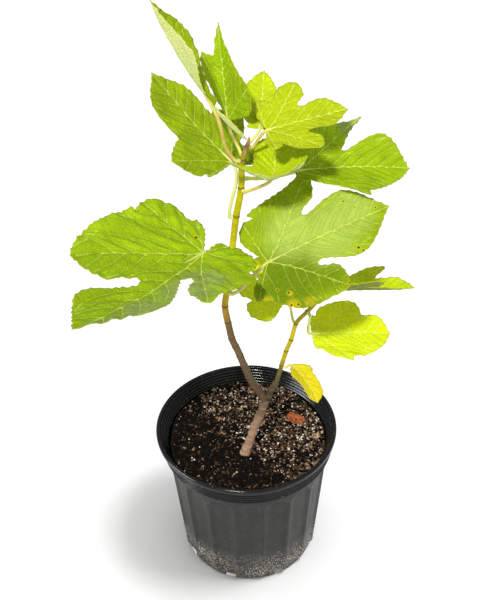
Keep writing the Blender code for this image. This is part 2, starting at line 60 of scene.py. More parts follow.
# Pot
# A blow-moulded black plastic can. Its wall has eighteen round-topped flutes, fine stacking
# rings under a rolled lip, and slots for drainage through the corner of its foot.
POT_HEIGHT = 0.150
RIM_RADIUS = 0.0825
MOUTH_RADIUS = 0.0785
LIP_HEIGHT = 0.0050
BAND_RADIUS = 0.0796
BAND_BOTTOM = 0.1310
BODY_TOP_RADIUS = 0.0762
FOOT_RADIUS = 0.0660
FOOT_HEIGHT = 0.0080
BASE_RADIUS = 0.0615
POT_WALL = 0.0032
POT_FLOOR = 0.0030
INNER_BASE_RADIUS = 0.0600
RING_DEPTH = 0.0004
INNER_RINGS = (0.1335, 0.1475, 0.0028)
OUTER_RINGS = (0.1312, 0.1447, 0.0027)
BEAD_RADIUS = 0.002
LIP_ROUND = 0.0012
FLUTES = 18
FLUTE_DEPTH = 0.0022
FLUTE_TOP = 0.1235
FLUTE_ARCH = 0.0120
FLUTE_EDGE = 0.0030
FLUTE_SHARE = 0.90
TURN_STEPS = 384
SPRUNG_OUT = 0.0030
SPRUNG_FROM = 0.1050
DRAIN_SLOTS = 8
FIRST_SLOT = math.radians(-108)
SLOT_SIZE = (0.0150, 0.0110, 0.0120)
GRIT_HEIGHTS = (0.046, 0.016)
STAIN_HEIGHTS = (0.010, 0.001)
GLOSS_HEIGHTS = (0.126, 0.131)


def paint(red, green, blue):
    """A colour as seen on screen, 0 to 255, as the linear light that shaders take."""
    levels = (channel / 255 for channel in (red, green, blue))
    return tuple(v / 12.92 if v <= 0.04045 else ((v + 0.055) / 1.055) ** 2.4 for v in levels)


def new_finish(name, colour, roughness):
    """A material with a shader of that colour. Returns it with its node tree and shader."""
    made = bpy.data.materials.new(name)
    made.use_nodes = True
    shader = made.node_tree.nodes["Principled BSDF"]
    shader.inputs["Base Color"].default_value = (*colour, 1)
    shader.inputs["Roughness"].default_value = roughness
    return made, made.node_tree, shader


def add_node(tree, kind, settings=(), **inputs):
    """A shader node. Inputs are given by name, with spaces as underscores."""
    made = tree.nodes.new(kind)
    for key, value in dict(settings).items():
        setattr(made, key, value)
    for key, value in inputs.items():
        socket = made.inputs[key.replace("_", " ")]
        if isinstance(value, bpy.types.NodeSocket):
            tree.links.new(value, socket)
        else:
            socket.default_value = value
    return made


def place_of(tree):
    return add_node(tree, "ShaderNodeTexCoord").outputs["Object"]


def cloud(tree, scale, low, high, detail=3.0):
    """A soft random mask from 0 to 1, in the object's own space."""
    made = add_node(tree, "ShaderNodeTexNoise", Vector=place_of(tree), Scale=scale, Detail=detail)
    return ramp(tree, made.outputs["Fac"], low, high)


def ramp(tree, value, low, high):
    """The value, stretched so that low becomes 0 and high becomes 1."""
    made = add_node(tree, "ShaderNodeMapRange", Value=value, From_Min=low, From_Max=high)
    return made.outputs["Result"]


def maths(tree, operation, first, second=0.5):
    made = add_node(tree, "ShaderNodeMath", {"operation": operation})
    for socket, value in zip(made.inputs, (first, second)):
        if isinstance(value, bpy.types.NodeSocket):
            tree.links.new(value, socket)
        else:
            socket.default_value = value
    return made.outputs["Value"]


def blend_colours(tree, mask, under, over):
    """The under colour, with the over colour where the mask is 1."""
    made = add_node(tree, "ShaderNodeMix", {"data_type": "RGBA"})
    for place, value in ((0, mask), (6, under), (7, over)):
        if isinstance(value, bpy.types.NodeSocket):
            tree.links.new(value, made.inputs[place])
        elif place == 0:
            made.inputs[place].default_value = value
        else:
            made.inputs[place].default_value = (*value, 1)
    return made.outputs[2]


def raise_surface(tree, shader, height, strength, distance):
    bump = add_node(tree, "ShaderNodeBump", Height=height, Strength=strength, Distance=distance)
    tree.links.new(bump.outputs["Normal"], shader.inputs["Normal"])


def new_piece(name, points, faces, *finishes):
    """A smooth-shaded object in the object's frame, from points in metres and faces."""
    mesh = bpy.data.meshes.new(name)
    mesh.from_pydata(np.asarray(points).tolist(), [], list(map(list, faces)))
    mesh.polygons.foreach_set("use_smooth", [True] * len(mesh.polygons))
    for finish in finishes:
        mesh.materials.append(finish)
    piece = bpy.data.objects.new(name, mesh)
    bpy.context.scene.collection.objects.link(piece)
    return piece


def set_piece(piece, slot, *nodes):
    """The piece rides with the pot and stands for these solids, which are hidden. The slot is not used.
    """
    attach(piece, "root")
    if nodes:
        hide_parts(*nodes)


def seen_mesh(piece):
    """Puts the piece's mesh as its modifiers make it in its place, with no modifiers left."""
    bpy.context.view_layer.update()
    shown = piece.evaluated_get(bpy.context.evaluated_depsgraph_get())
    mesh = bpy.data.meshes.new_from_object(shown)
    piece.modifiers.clear()
    piece.data = mesh


def woven_faces(rows, columns, start=0):
    """Quads between neighbouring rows of points, closed round each row."""
    row, column = np.mgrid[0 : rows - 1, 0:columns]
    after = (column + 1) % columns
    quads = np.stack([row, row, row + 1, row + 1], -1) * columns
    quads += np.stack([column, after, after, column], -1)
    return quads.reshape(-1, 4) + start


def smoothed(value):
    value = np.clip(value, 0, 1)
    return value * value * (3 - 2 * value)


def arc(centre, radius, start, end, steps):
    """Points (radius, height) of an arc between two angles in degrees."""
    turns = np.radians(np.linspace(start, end, steps))
    return [(centre[0] + radius * math.cos(a), centre[1] + radius * math.sin(a)) for a in turns]


def pot_body_radius(height):
    share = (height - FOOT_HEIGHT) / (BAND_BOTTOM - FOOT_HEIGHT)
    return FOOT_RADIUS + (BODY_TOP_RADIUS - FOOT_RADIUS) * share


def pot_inner_radius(height):
    share = (height - POT_FLOOR) / (BAND_BOTTOM - POT_FLOOR)
    return INNER_BASE_RADIUS + (BODY_TOP_RADIUS - POT_WALL - INNER_BASE_RADIUS) * share


def ring_relief(height, low, high, pitch):
    """Sharp-crested fine rings, one each pitch, between two heights."""
    inside = low < height < high
    return -2 * RING_DEPTH * abs(math.sin(math.pi * (height - low) / pitch)) if inside else 0.0


def pot_section():
    """The pot's section as (radius, height), from its inner floor over the lip to its base."""
    heights = np.linspace(POT_FLOOR, BAND_BOTTOM, 16)
    section = [(pot_inner_radius(z), z) for z in heights]
    section[0] = (INNER_BASE_RADIUS, POT_FLOOR)
    for z in np.linspace(BAND_BOTTOM, POT_HEIGHT - BEAD_RADIUS, 64)[1:]:
        share = (z - BAND_BOTTOM) / (POT_HEIGHT - BEAD_RADIUS - BAND_BOTTOM)
        radius = pot_inner_radius(BAND_BOTTOM) * (1 - share) + MOUTH_RADIUS * share
        section.append((radius + ring_relief(z, *INNER_RINGS), z))
    middle = (MOUTH_RADIUS + RIM_RADIUS) / 2
    section += arc((middle, POT_HEIGHT - BEAD_RADIUS), BEAD_RADIUS, 180, 0, 13)
    lip = (RIM_RADIUS - LIP_ROUND, POT_HEIGHT - LIP_HEIGHT + LIP_ROUND)
    section += arc(lip, LIP_ROUND, 0, -90, 5)
    section.append((BAND_RADIUS, POT_HEIGHT - LIP_HEIGHT))
    for z in np.linspace(POT_HEIGHT - LIP_HEIGHT, BAND_BOTTOM, 50)[1:]:
        relief = ring_relief(z, *OUTER_RINGS)
        section.append((BAND_RADIUS - 0.0004 + relief, z))
    upper = np.linspace(BAND_BOTTOM - 0.0008, 0.108, 24)
    for z in [*upper, *np.linspace(0.104, FOOT_HEIGHT + 0.001, 24)]:
        section.append((pot_body_radius(z), z))
    section += [(FOOT_RADIUS - 0.0003, FOOT_HEIGHT), (FOOT_RADIUS - 0.0016, 0.0055)]
    section += [(BASE_RADIUS + 0.0016, 0.0022), (BASE_RADIUS + 0.0002, 0.0003)]
    section += [(BASE_RADIUS - 0.0008, 0.0)]
    return np.array(section)


def pot_surface():
    """Points of the pot's rows, pressed in at the flutes and sprung out on the left."""
    section = pot_section()
    turn = np.arange(TURN_STEPS) * math.tau / TURN_STEPS - math.pi / 2
    radius = np.repeat(section[:, :1], TURN_STEPS, 1)
    height = np.repeat(section[:, 1:], TURN_STEPS, 1)
    flute = (turn + math.pi / 2) * FLUTES / math.tau
    across = np.clip(abs(flute - np.round(flute)) * 2 / FLUTE_SHARE, 0, 1)[None, :]
    arch = FLUTE_TOP - FLUTE_ARCH * (1 - np.sqrt(1 - across**2))
    depth = FLUTE_DEPTH * (1 - across**4) * smoothed((arch - height) / FLUTE_EDGE)
    outside = radius > pot_inner_radius(height) + POT_WALL / 2
    outside &= (height < FLUTE_TOP) & (height > 0.001)
    fade = smoothed((height - 0.001) / 0.006)
    sprung = np.clip((height - SPRUNG_FROM) / (POT_HEIGHT - SPRUNG_FROM), 0, 1) ** 2
    sprung = sprung * SPRUNG_OUT * np.clip(-np.cos(turn), 0, 1)[None, :] ** 2
    radius = radius - np.where(outside, depth * fade, 0) + sprung
    return np.stack([radius * np.cos(turn), radius * np.sin(turn), height], -1)


def specks(tree, scale, size, share):
    """Round specks: one in some of the cells of a net, with a share of the cells filled."""
    cells = add_node(tree, "ShaderNodeTexVoronoi", Vector=place_of(tree), Scale=scale)
    pick = add_node(tree, "ShaderNodeSeparateColor", Color=cells.outputs["Color"]).outputs["Red"]
    dot = ramp(tree, cells.outputs["Distance"], size, size * 0.6)
    return maths(tree, "MULTIPLY", dot, ramp(tree, pick, 1 - share, 1.02 - share))


def pot_plastic():
    """Black plastic: bare and glossy at the lip, dusty below, with grit round its foot."""
    made, tree, shader = new_finish("pot_black_plastic", paint(16, 17, 17), 0.36)
    height = add_node(tree, "ShaderNodeSeparateXYZ", Vector=place_of(tree)).outputs["Z"]
    low = ramp(tree, height, *GRIT_HEIGHTS)
    band = ramp(tree, height, *GLOSS_HEIGHTS)
    dust = maths(tree, "MULTIPLY", cloud(tree, 70, 0.35, 0.75), 0.6)
    colour = blend_colours(tree, dust, paint(20, 20, 18), paint(36, 35, 31))
    colour = blend_colours(tree, band, colour, paint(8, 10, 10))
    bare = maths(tree, "MULTIPLY", specks(tree, 360, 0.15, 0.34), 0.6)
    colour = blend_colours(tree, bare, colour, paint(150, 146, 136))
    splash = maths(tree, "MULTIPLY", cloud(tree, 24, 0.30, 0.62), low)
    grit = maths(tree, "MULTIPLY", specks(tree, 560, 0.34, 0.9), splash)
    fine = maths(tree, "MULTIPLY", specks(tree, 1100, 0.36, 0.8), splash)
    grit = maths(tree, "MAXIMUM", grit, maths(tree, "MULTIPLY", fine, 0.8))
    colour = blend_colours(tree, grit, colour, paint(232, 226, 210))
    foot = ramp(tree, height, *STAIN_HEIGHTS)
    stain = maths(tree, "MULTIPLY", foot, cloud(tree, 90, 0.55, 0.7))
    colour = blend_colours(tree, stain, colour, paint(104, 72, 46))
    tree.links.new(colour, shader.inputs["Base Color"])
    rough = maths(tree, "ADD", maths(tree, "MULTIPLY", cloud(tree, 140, 0.3, 0.7), 0.12), 0.38)
    rough = maths(tree, "SUBTRACT", rough, maths(tree, "MULTIPLY", band, 0.24))
    tree.links.new(rough, shader.inputs["Roughness"])
    shader.inputs["Specular IOR Level"].default_value = 0.3
    raise_surface(tree, shader, cloud(tree, 420, 0.2, 0.8, 4.0), 0.12, 0.0006)
    return made


rows = pot_surface()
pot_points = np.vstack([rows.reshape(-1, 3), [[0, 0, POT_FLOOR], [0, 0, 0]]])
pot_faces = woven_faces(len(rows), TURN_STEPS).tolist()
last_row = (len(rows) - 1) * TURN_STEPS
for step in range(TURN_STEPS):
    after = (step + 1) % TURN_STEPS
    pot_faces.append([len(pot_points) - 2, after, step])
    pot_faces.append([len(pot_points) - 1, last_row + step, last_row + after])
pot = new_piece("nursery_pot", pot_points, pot_faces, pot_plastic())
slot_cutters = bpy.data.collections.new("slot_cutters")
for number in range(DRAIN_SLOTS):
    turn = FIRST_SLOT + number * math.tau / DRAIN_SLOTS
    bpy.ops.mesh.primitive_cube_add(size=1)
    cutter = bpy.context.active_object
    cutter.scale = SLOT_SIZE
    cutter.rotation_euler = (0, 0, turn)
    cutter.location = (FOOT_RADIUS * math.cos(turn), FOOT_RADIUS * math.sin(turn), 0)
    slot_cutters.objects.link(cutter)
drill = pot.modifiers.new("drain_slots", "BOOLEAN")
drill.operation = "DIFFERENCE"
drill.operand_type = "COLLECTION"
drill.collection = slot_cutters
drill.solver = "MANIFOLD"
seen_mesh(pot)
for cutter in list(slot_cutters.objects):
    bpy.data.objects.remove(cutter, do_unlink=True)
bpy.data.collections.remove(slot_cutters)
set_piece(pot, "pot_plastic", "pot")


# Potting soil
# A loose mix of black peat, shredded bark and white perlite, filled to a thumb's width
# below the lip and settled unevenly. The crumbs are real small pieces on a rough bed.
SOIL_LEVEL = 0.1340
SOIL_EDGE_DROP = 0.0030
SOIL_RADIUS = 0.0722
SOIL_MOUND = 0.0036
BED_RINGS = 70
BED_STEPS = 220
BED_ROUGHNESS = 0.00045
BED_SKIRT = 0.0030
CRUMB_ROUGHNESS = (-0.28, 0.28)
CHIPS = (
    ("dry_leaf_chip", 0.0450, 0.0188, 0.0090, 0.0066, 2.5, (190, 104, 62)),
    ("tan_leaf_chip", 0.0642, -0.0025, 0.0040, 0.0030, 0.2, (216, 178, 136)),
    ("orange_leaf_chip", 0.0285, 0.0695, 0.0030, 0.0016, 2.4, (200, 120, 52)),
)


def soil_height(x, y):
    """Height of the soil's rough surface at a place, for whole arrays of places."""
    reach = np.hypot(x, y) / SOIL_RADIUS
    height = SOIL_LEVEL + 0.0006 - SOIL_EDGE_DROP * smoothed((reach - 0.66) / 0.34)
    height += SOIL_MOUND * smoothed((y * 0.9 - x * 0.35 + 0.005) / 0.055)
    height += 0.0008 * np.sin(x * 95 + 1.3) * np.sin(y * 80 + 0.4)
    return height + 0.0005 * np.sin(x * 310 + y * 170) * np.sin(y * 260 - x * 90 + 2.0)


def soil_finish(name, dark, light, roughness=0.95):
    """One of the mix's colours, mottled between a darker and a lighter tone."""
    made, tree, shader = new_finish(name, dark, roughness)
    colour = blend_colours(tree, cloud(tree, 700, 0.35, 0.65, 2.0), dark, light)
    tree.links.new(colour, shader.inputs["Base Color"])
    shader.inputs["Specular IOR Level"].default_value = 0.1
    return made


def plain_finish(name, colour, roughness=0.9):
    made, _, shader = new_finish(name, colour, roughness)
    shader.inputs["Specular IOR Level"].default_value = 0.1
    return made


ring, step = np.mgrid[0 : BED_RINGS + 1, 0:BED_STEPS]
reach = SOIL_RADIUS * (0.002 + 0.998 * ring / BED_RINGS)
x = reach * np.cos(step * math.tau / BED_STEPS)
y = reach * np.sin(step * math.tau / BED_STEPS)
rough = np.random.default_rng(11).normal(0, BED_ROUGHNESS, x.shape)
rough[0] = 0
bed_top = np.stack([x, y, soil_height(x, y) + rough], -1).reshape(-1, 3)
skirt = bed_top[-BED_STEPS:] - [0, 0, BED_SKIRT]
bed_points = np.vstack([bed_top, skirt])
bed = new_piece(
    "soil_bed", bed_points, woven_faces(BED_RINGS + 2, BED_STEPS)[:, ::-1],
    soil_finish("soil_peat", paint(9, 7, 5), paint(34, 26, 20)),
)
set_piece(bed, "potting_soil")
soil_core = frame["nodes"]["soil"]
soil_core.data.materials.clear()
soil_core.data.materials.append(soil_finish("soil_core", paint(22, 17, 13), paint(52, 40, 31)))

# A crumb starts from the twelve corners of an icosahedron.
GOLD = (1 + math.sqrt(5)) / 2
CRUMB_CORNERS = np.array(
    [(s, t * GOLD, 0) for s in (-1, 1) for t in (-1, 1)]
    + [(0, s, t * GOLD) for s in (-1, 1) for t in (-1, 1)]
    + [(t * GOLD, 0, s) for s in (-1, 1) for t in (-1, 1)]
)
CRUMB_CORNERS = CRUMB_CORNERS / np.linalg.norm(CRUMB_CORNERS[0])


def crumb_faces():
    """The icosahedron's twenty faces: every three corners that are one edge apart."""
    gap = np.linalg.norm(CRUMB_CORNERS[:, None] - CRUMB_CORNERS[None], axis=-1)
    near = gap < 1.2
    faces = []
    for a in range(12):
        for b in range(a + 1, 12):
            for c in range(b + 1, 12):
                if near[a, b] and near[b, c] and near[a, c]:
                    p, q, r = CRUMB_CORNERS[[a, b, c]]
                    out = np.dot(np.cross(q - p, r - p), p) > 0
                    faces.append((a, b, c) if out else (a, c, b))
    return np.array(faces)


CRUMB_FACES = crumb_faces()


def scatter_crumbs(name, count, sizes, stretch, flat, finish, seed, sunk=0.3, region=None):
    """Crumbs strewn over the soil as one mesh. Sizes are half widths in metres."""
    deal = np.random.default_rng(seed)
    reach = (SOIL_RADIUS - 0.0008) * np.sqrt(deal.random(count))
    turn = deal.random(count) * math.tau
    x, y = reach * np.cos(turn), reach * np.sin(turn)
    if region is not None:
        kept = region(x, y, deal)
        x, y = x[kept], y[kept]
    count = len(x)
    size = sizes[0] + (sizes[1] - sizes[0]) * deal.random(count) ** 2
    shape = np.stack([size * (1 + stretch * deal.random(count)), size, size * flat], -1)
    corners = CRUMB_CORNERS[None] * (1 + deal.uniform(*CRUMB_ROUGHNESS, (count, 12, 1)))
    corners = corners * shape[:, None, :]
    spin, tip = deal.random(count) * math.tau, deal.normal(0, 0.45, count)
    cos_t, sin_t = np.cos(tip)[:, None], np.sin(tip)[:, None]
    a, b, c = corners[..., 0], corners[..., 1], corners[..., 2]
    a, c = a * cos_t - c * sin_t, a * sin_t + c * cos_t
    cos_s, sin_s = np.cos(spin)[:, None], np.sin(spin)[:, None]
    a, b = a * cos_s - b * sin_s, a * sin_s + b * cos_s
    z = soil_height(x, y) + size * flat * (1 - sunk)
    points = np.stack([a + x[:, None], b + y[:, None], c + z[:, None]], -1).reshape(-1, 3)
    outside = np.hypot(points[:, 0], points[:, 1])
    squeeze = np.minimum(1, (SOIL_RADIUS + 0.0002) / np.maximum(outside, 1e-9))
    points[:, :2] *= squeeze[:, None]
    faces = (CRUMB_FACES[None] + np.arange(count)[:, None, None] * 12).reshape(-1, 3)
    piece = new_piece(name, points, faces, finish)
    piece.data.polygons.foreach_set("use_smooth", [False] * len(piece.data.polygons))
    set_piece(piece, "potting_soil")
    return piece


def thin_in_painted_shade(x, y, deal):
    """Fewer pale crumbs show at the front left, as painted shade where the wall shades the soil."""
    return deal.random(len(x)) < 0.06 + 0.94 * smoothed((x + y * 0.9 + 0.035) / 0.060)


scatter_crumbs(
    "peat_crumbs", 3600, (0.0005, 0.0018), 0.8, 0.7,
    plain_finish("peat_black", paint(13, 10, 8)), 1,
)
scatter_crumbs(
    "dark_bark_crumbs", 3000, (0.0004, 0.0018), 1.4, 0.5,
    plain_finish("bark_brown", paint(70, 52, 40)), 2, 0.3, thin_in_painted_shade,
)
scatter_crumbs(
    "light_bark_crumbs", 3000, (0.0003, 0.0014), 1.6, 0.45,
    plain_finish("bark_tan", paint(140, 112, 88)), 3, 0.2, thin_in_painted_shade,
)
scatter_crumbs(
    "bark_shreds", 620, (0.00025, 0.0006), 8.0, 0.6,
    plain_finish("bark_fibre", paint(120, 90, 66)), 4,
)
scatter_crumbs(
    "perlite_grains", 1400, (0.0003, 0.0010), 0.4, 0.9,
    plain_finish("perlite_white", paint(236, 230, 220), 0.8), 5, 0.1, thin_in_painted_shade,
)
scatter_crumbs(
    "pale_crumbs", 1900, (0.0003, 0.0010), 0.9, 0.7,
    plain_finish("bark_pale", paint(186, 160, 134), 0.9), 6, 0.1, thin_in_painted_shade,
)

# Dry bits of leaf that have blown in, cupped as they dried.
for name, chip_x, chip_y, half_length, half_width, spin, shown in CHIPS:
    ring, step = np.mgrid[0:5, 0:20]
    turn = step * math.tau / 20
    ragged = 1 + 0.16 * np.sin(turn * 3 + spin) + 0.10 * np.sin(turn * 7 + 1)
    a = half_length * ring / 4 * ragged * np.cos(turn)
    b = half_width * ring / 4 * ragged * np.sin(turn)
    x = chip_x + a * math.cos(spin) - b * math.sin(spin)
    y = chip_y + a * math.sin(spin) + b * math.cos(spin)
    z = soil_height(x, y) + 0.0022 + 40 * b**2 - 12 * a**2 + 0.0006 * np.sin(a * 900)
    chip = new_piece(
        name, np.stack([x, y, z], -1).reshape(-1, 3), woven_faces(5, 20),
        soil_finish(name, paint(*shown), paint(*(0.55 * level for level in shown)), 0.8),
    )
    skin = chip.modifiers.new("thickness", "SOLIDIFY")
    skin.thickness = 0.0003
    seen_mesh(chip)
    set_piece(chip, "potting_soil")


# Wood
# A slender grey-brown stem comes up from the soil, leaning to the right, and forks low.
# Old wood is ringed with leaf scars; this year's growth above is smooth and yellow-green.
TRUNK = (
    ((-0.0050, -0.0225, 0.1280), 0.0058),
    ((-0.0030, -0.0216, 0.1345), 0.0047),
    ((0.0010, -0.0205, 0.1470), 0.0040),
    ((0.0070, -0.0195, 0.1680), 0.0039),
    ((0.0130, -0.0185, 0.1860), 0.0039),
    ((0.0165, -0.0180, 0.1985), 0.0040),
)
MAIN_SHOOT = (
    ((0.0165, -0.0180, 0.1965), 0.0037),
    ((0.0125, -0.0180, 0.2050), 0.0035),
    ((0.0065, -0.0180, 0.2150), 0.0033),
    ((-0.0014, -0.0180, 0.2382), 0.0031),
    ((-0.0074, -0.0180, 0.2580), 0.0030),
    ((-0.0113, -0.0180, 0.2690), 0.0029),
    ((-0.0138, -0.0178, 0.2840), 0.0028),
    ((-0.0164, -0.0170, 0.3050), 0.0027),
    ((-0.0142, -0.0160, 0.3200), 0.0027),
    ((-0.0104, -0.0148, 0.3480), 0.0027),
    ((-0.0078, -0.0140, 0.3700), 0.0026),
    ((-0.0053, -0.0130, 0.3894), 0.0026),
    ((-0.0009, -0.0120, 0.4146), 0.0025),
    ((0.0004, -0.0110, 0.4380), 0.0023),
    ((0.0036, -0.0102, 0.4480), 0.0019),
    ((0.0054, -0.0100, 0.4545), 0.0011),
    ((0.0058, -0.0099, 0.4575), 0.0005),
)
SIDE_SHOOT = (
    ((0.0165, -0.0180, 0.1965), 0.0033),
    ((0.0205, -0.0170, 0.2070), 0.0030),
    ((0.0250, -0.0155, 0.2145), 0.0028),
    ((0.0266, -0.0149, 0.2185), 0.0021),
    ((0.0318, -0.0130, 0.2396), 0.0020),
    ((0.0348, -0.0122, 0.2511), 0.0019),
    ((0.0387, -0.0120, 0.2627), 0.0019),
    ((0.0432, -0.0120, 0.2817), 0.0018),
    ((0.0500, -0.0115, 0.2905), 0.0017),
    ((0.0570, -0.0105, 0.2984), 0.0016),
    ((0.0620, -0.0085, 0.3040), 0.0012),
)
LIMB_STEP = 0.0006
LIMB_SIDES = 32
TRUNK_FOOT = 0.1335


def smooth_line(points, steps):
    """A smooth line through the points, with some steps between each two of them."""
    points = [np.asarray(p, float) for p in points]
    ends = [2 * points[0] - points[1], *points, 2 * points[-1] - points[-2]]
    line = []
    for i in range(1, len(ends) - 2):
        before, start, end, after = ends[i - 1 : i + 3]
        knots = [0.0]
        for a, b in ((before, start), (start, end), (end, after)):
            knots.append(knots[-1] + max(float(np.linalg.norm(b - a)), 1e-9) ** 0.5)
        t = (knots[1] + (knots[2] - knots[1]) * np.arange(steps) / steps)[:, None]
        a1 = before + (start - before) * (t - knots[0]) / (knots[1] - knots[0])
        a2 = start + (end - start) * (t - knots[1]) / (knots[2] - knots[1])
        a3 = end + (after - end) * (t - knots[2]) / (knots[3] - knots[2])
        b1 = a1 + (a2 - a1) * (t - knots[0]) / (knots[2] - knots[0])
        b2 = a2 + (a3 - a2) * (t - knots[1]) / (knots[3] - knots[1])
        line.append(b1 + (b2 - b1) * (t - knots[1]) / (knots[2] - knots[1]))
    return np.vstack([*line, points[-1][None]])


def limb_line(points):
    return smooth_line([np.array([*at, radius]) for at, radius in points], 12)


def even_line(line, step):
    """The line with points an even step apart, measured in its first three values."""
    gaps = np.linalg.norm(np.diff(line[:, :3], axis=0), axis=1)
    along = np.concatenate([[0], np.cumsum(gaps)])
    marks = np.linspace(0, along[-1], max(4, int(along[-1] / step) + 1))
    return np.stack([np.interp(marks, along, line[:, k]) for k in range(line.shape[1])], -1)


def round_limb(line, sides, relief):
    """Points round a line of (x, y, z, radius). Relief is added to the radius, in metres."""
    ahead = np.gradient(line[:, :3], axis=0)
    ahead /= np.linalg.norm(ahead, axis=1)[:, None]
    side = np.cross(ahead, [0.0, 1.0, 0.2])
    side /= np.linalg.norm(side, axis=1)[:, None]
    other = np.cross(ahead, side)
    turn = np.arange(sides) * math.tau / sides
    out = side[:, None] * np.cos(turn)[None, :, None] + other[:, None] * np.sin(turn)[None, :, None]
    return line[:, None, :3] + out * (line[:, 3:4] + relief)[..., None]


def capped_limb(name, line, sides, relief, *finishes):
    """A closed limb: its rows of points, with a fan over each end."""
    rows = round_limb(line, sides, relief)
    count = len(rows) * sides
    points = np.vstack([rows.reshape(-1, 3), line[0, :3], line[-1, :3]])
    faces = woven_faces(len(rows), sides).tolist()
    last = count - sides
    for step in range(sides):
        after = (step + 1) % sides
        faces.append([count, after, step])
        faces.append([count + 1, last + step, last + after])
    return new_piece(name, points, faces, *finishes)


def bark_relief(line, sides, rings, ring_height, roughness, seed):
    """Scar rings, a fine rise and fall of the bark, and small corky warts."""
    deal = np.random.default_rng(seed)
    z = line[:, 2:3]
    relief = np.zeros((len(line), sides))
    for height in rings:
        relief += ring_height * np.exp(-(((z - height) / 0.0011) ** 2))
        relief -= ring_height * 0.8 * np.exp(-(((z - height - 0.0013) / 0.0005) ** 2))
    coarse = deal.normal(0, 1, (len(line) // 5 + 3, sides // 3 + 2))
    rows = np.linspace(0, coarse.shape[0] - 1.001, len(line))
    columns = np.linspace(0, coarse.shape[1] - 2, sides, endpoint=False)
    r, c = rows.astype(int)[:, None], columns.astype(int)[None, :]
    dr, dc = rows[:, None] - r, columns[None, :] - c
    coarse[:, -2] = coarse[:, 0]
    low = coarse[r, c] * (1 - dc) + coarse[r, c + 1] * dc
    high = coarse[r + 1, c] * (1 - dc) + coarse[r + 1, c + 1] * dc
    return relief + roughness * (low * (1 - dr) + high * dr)


def wood_finish(name, bands, scars, roughness):
    """Bark whose colour changes with height. Bands are (height, colour), lowest first."""
    made, tree, shader = new_finish(name, bands[0][1], roughness)
    height = add_node(tree, "ShaderNodeSeparateXYZ", Vector=place_of(tree)).outputs["Z"]
    wobble = maths(tree, "MULTIPLY", cloud(tree, 160, 0.0, 1.0), 0.012)
    height = maths(tree, "ADD", height, wobble)
    colour = bands[0][1]
    for (start, _), (end, over) in zip(bands, bands[1:]):
        colour = blend_colours(tree, ramp(tree, height, start, end), colour, over)
    dark = add_node(tree, "ShaderNodeHueSaturation", Value=0.62, Color=colour).outputs["Color"]
    mottle = maths(tree, "MULTIPLY", cloud(tree, 420, 0.45, 0.75, 4.0), 0.8)
    colour = blend_colours(tree, mottle, colour, dark)
    scar = add_node(tree, "ShaderNodeAttribute", {"attribute_name": "scar"}).outputs["Fac"]
    colour = blend_colours(tree, scar, colour, scars)
    tree.links.new(colour, shader.inputs["Base Color"])
    shader.inputs["Specular IOR Level"].default_value = 0.2
    raise_surface(tree, shader, cloud(tree, 900, 0.2, 0.8, 4.0), 0.35, 0.0006)
    return made


def mark_scars(piece, rings, width=0.0010):
    """Writes how far each point is in a leaf scar, from 0 to 1."""
    z = np.array([v.co.z for v in piece.data.vertices])
    scar = np.zeros(len(z))
    for height in rings:
        scar = np.maximum(scar, np.exp(-(((z - height - 0.0008) / width) ** 2)))
    layer = piece.data.attributes.new("scar", "FLOAT", "POINT")
    layer.data.foreach_set("value", scar.astype(np.float32))


TRUNK_RINGS = (0.1395, 0.1480, 0.1560, 0.1665, 0.1790, 0.1900)
trunk_bark = wood_finish(
    "trunk_bark",
    ((0.134, paint(190, 156, 132)), (0.172, paint(168, 136, 112)), (0.192, paint(112, 92, 74))),
    paint(150, 116, 92), 0.85,
)
line = even_line(limb_line(TRUNK), LIMB_STEP)
line = line[line[:, 2] > TRUNK_FOOT]
relief = bark_relief(line, LIMB_SIDES, TRUNK_RINGS, 0.00022, 0.00038, 21)
trunk = capped_limb("fig_trunk", line, LIMB_SIDES, relief, trunk_bark)
mark_scars(trunk, TRUNK_RINGS, 0.0006)
set_piece(trunk, "bark", "trunk")

MAIN_RINGS = (0.205, 0.216, 0.227, 0.240, 0.2515, 0.262, 0.271, 0.288, 0.3045, 0.3300,
              0.3900, 0.4150, 0.4385)
main_wood = wood_finish(
    "main_shoot_wood",
    (
        (0.198, paint(96, 76, 52)), (0.215, paint(78, 64, 48)), (0.262, paint(102, 86, 60)),
        (0.290, paint(112, 88, 52)), (0.308, paint(172, 136, 36)), (0.325, paint(190, 176, 0)),
        (0.425, paint(190, 184, 0)), (0.446, paint(150, 146, 20)), (0.4555, paint(176, 132, 92)),
    ),
    paint(98, 66, 40), 0.62,
)
line = even_line(limb_line(MAIN_SHOOT), LIMB_STEP)
relief = bark_relief(line, LIMB_SIDES, MAIN_RINGS, 0.00028, 0.00007, 22)
main_shoot = capped_limb("fig_main_shoot", line, LIMB_SIDES, relief, main_wood)
mark_scars(main_shoot, MAIN_RINGS, 0.0008)
set_piece(main_shoot, "green_shoot", "main_shoot_lower", "main_shoot_upper")

SIDE_RINGS = (0.2030, 0.2100, 0.2160, 0.2345, 0.2500, 0.2625, 0.2800, 0.2930)
side_wood = wood_finish(
    "side_shoot_wood",
    (
        (0.198, paint(58, 46, 36)), (0.218, paint(70, 60, 42)), (0.236, paint(112, 98, 40)),
        (0.248, paint(178, 158, 10)), (0.275, paint(190, 174, 0)), (0.300, paint(170, 162, 20)),
    ),
    paint(96, 72, 44), 0.62,
)
line = even_line(limb_line(SIDE_SHOOT), LIMB_STEP)
relief = bark_relief(line, LIMB_SIDES, SIDE_RINGS, 0.00024, 0.00006, 23)
side_shoot = capped_limb("fig_side_shoot", line, LIMB_SIDES, relief, side_wood)
mark_scars(side_shoot, SIDE_RINGS, 0.0007)
set_piece(side_shoot, "green_shoot", "side_shoot_lower", "side_shoot_upper")


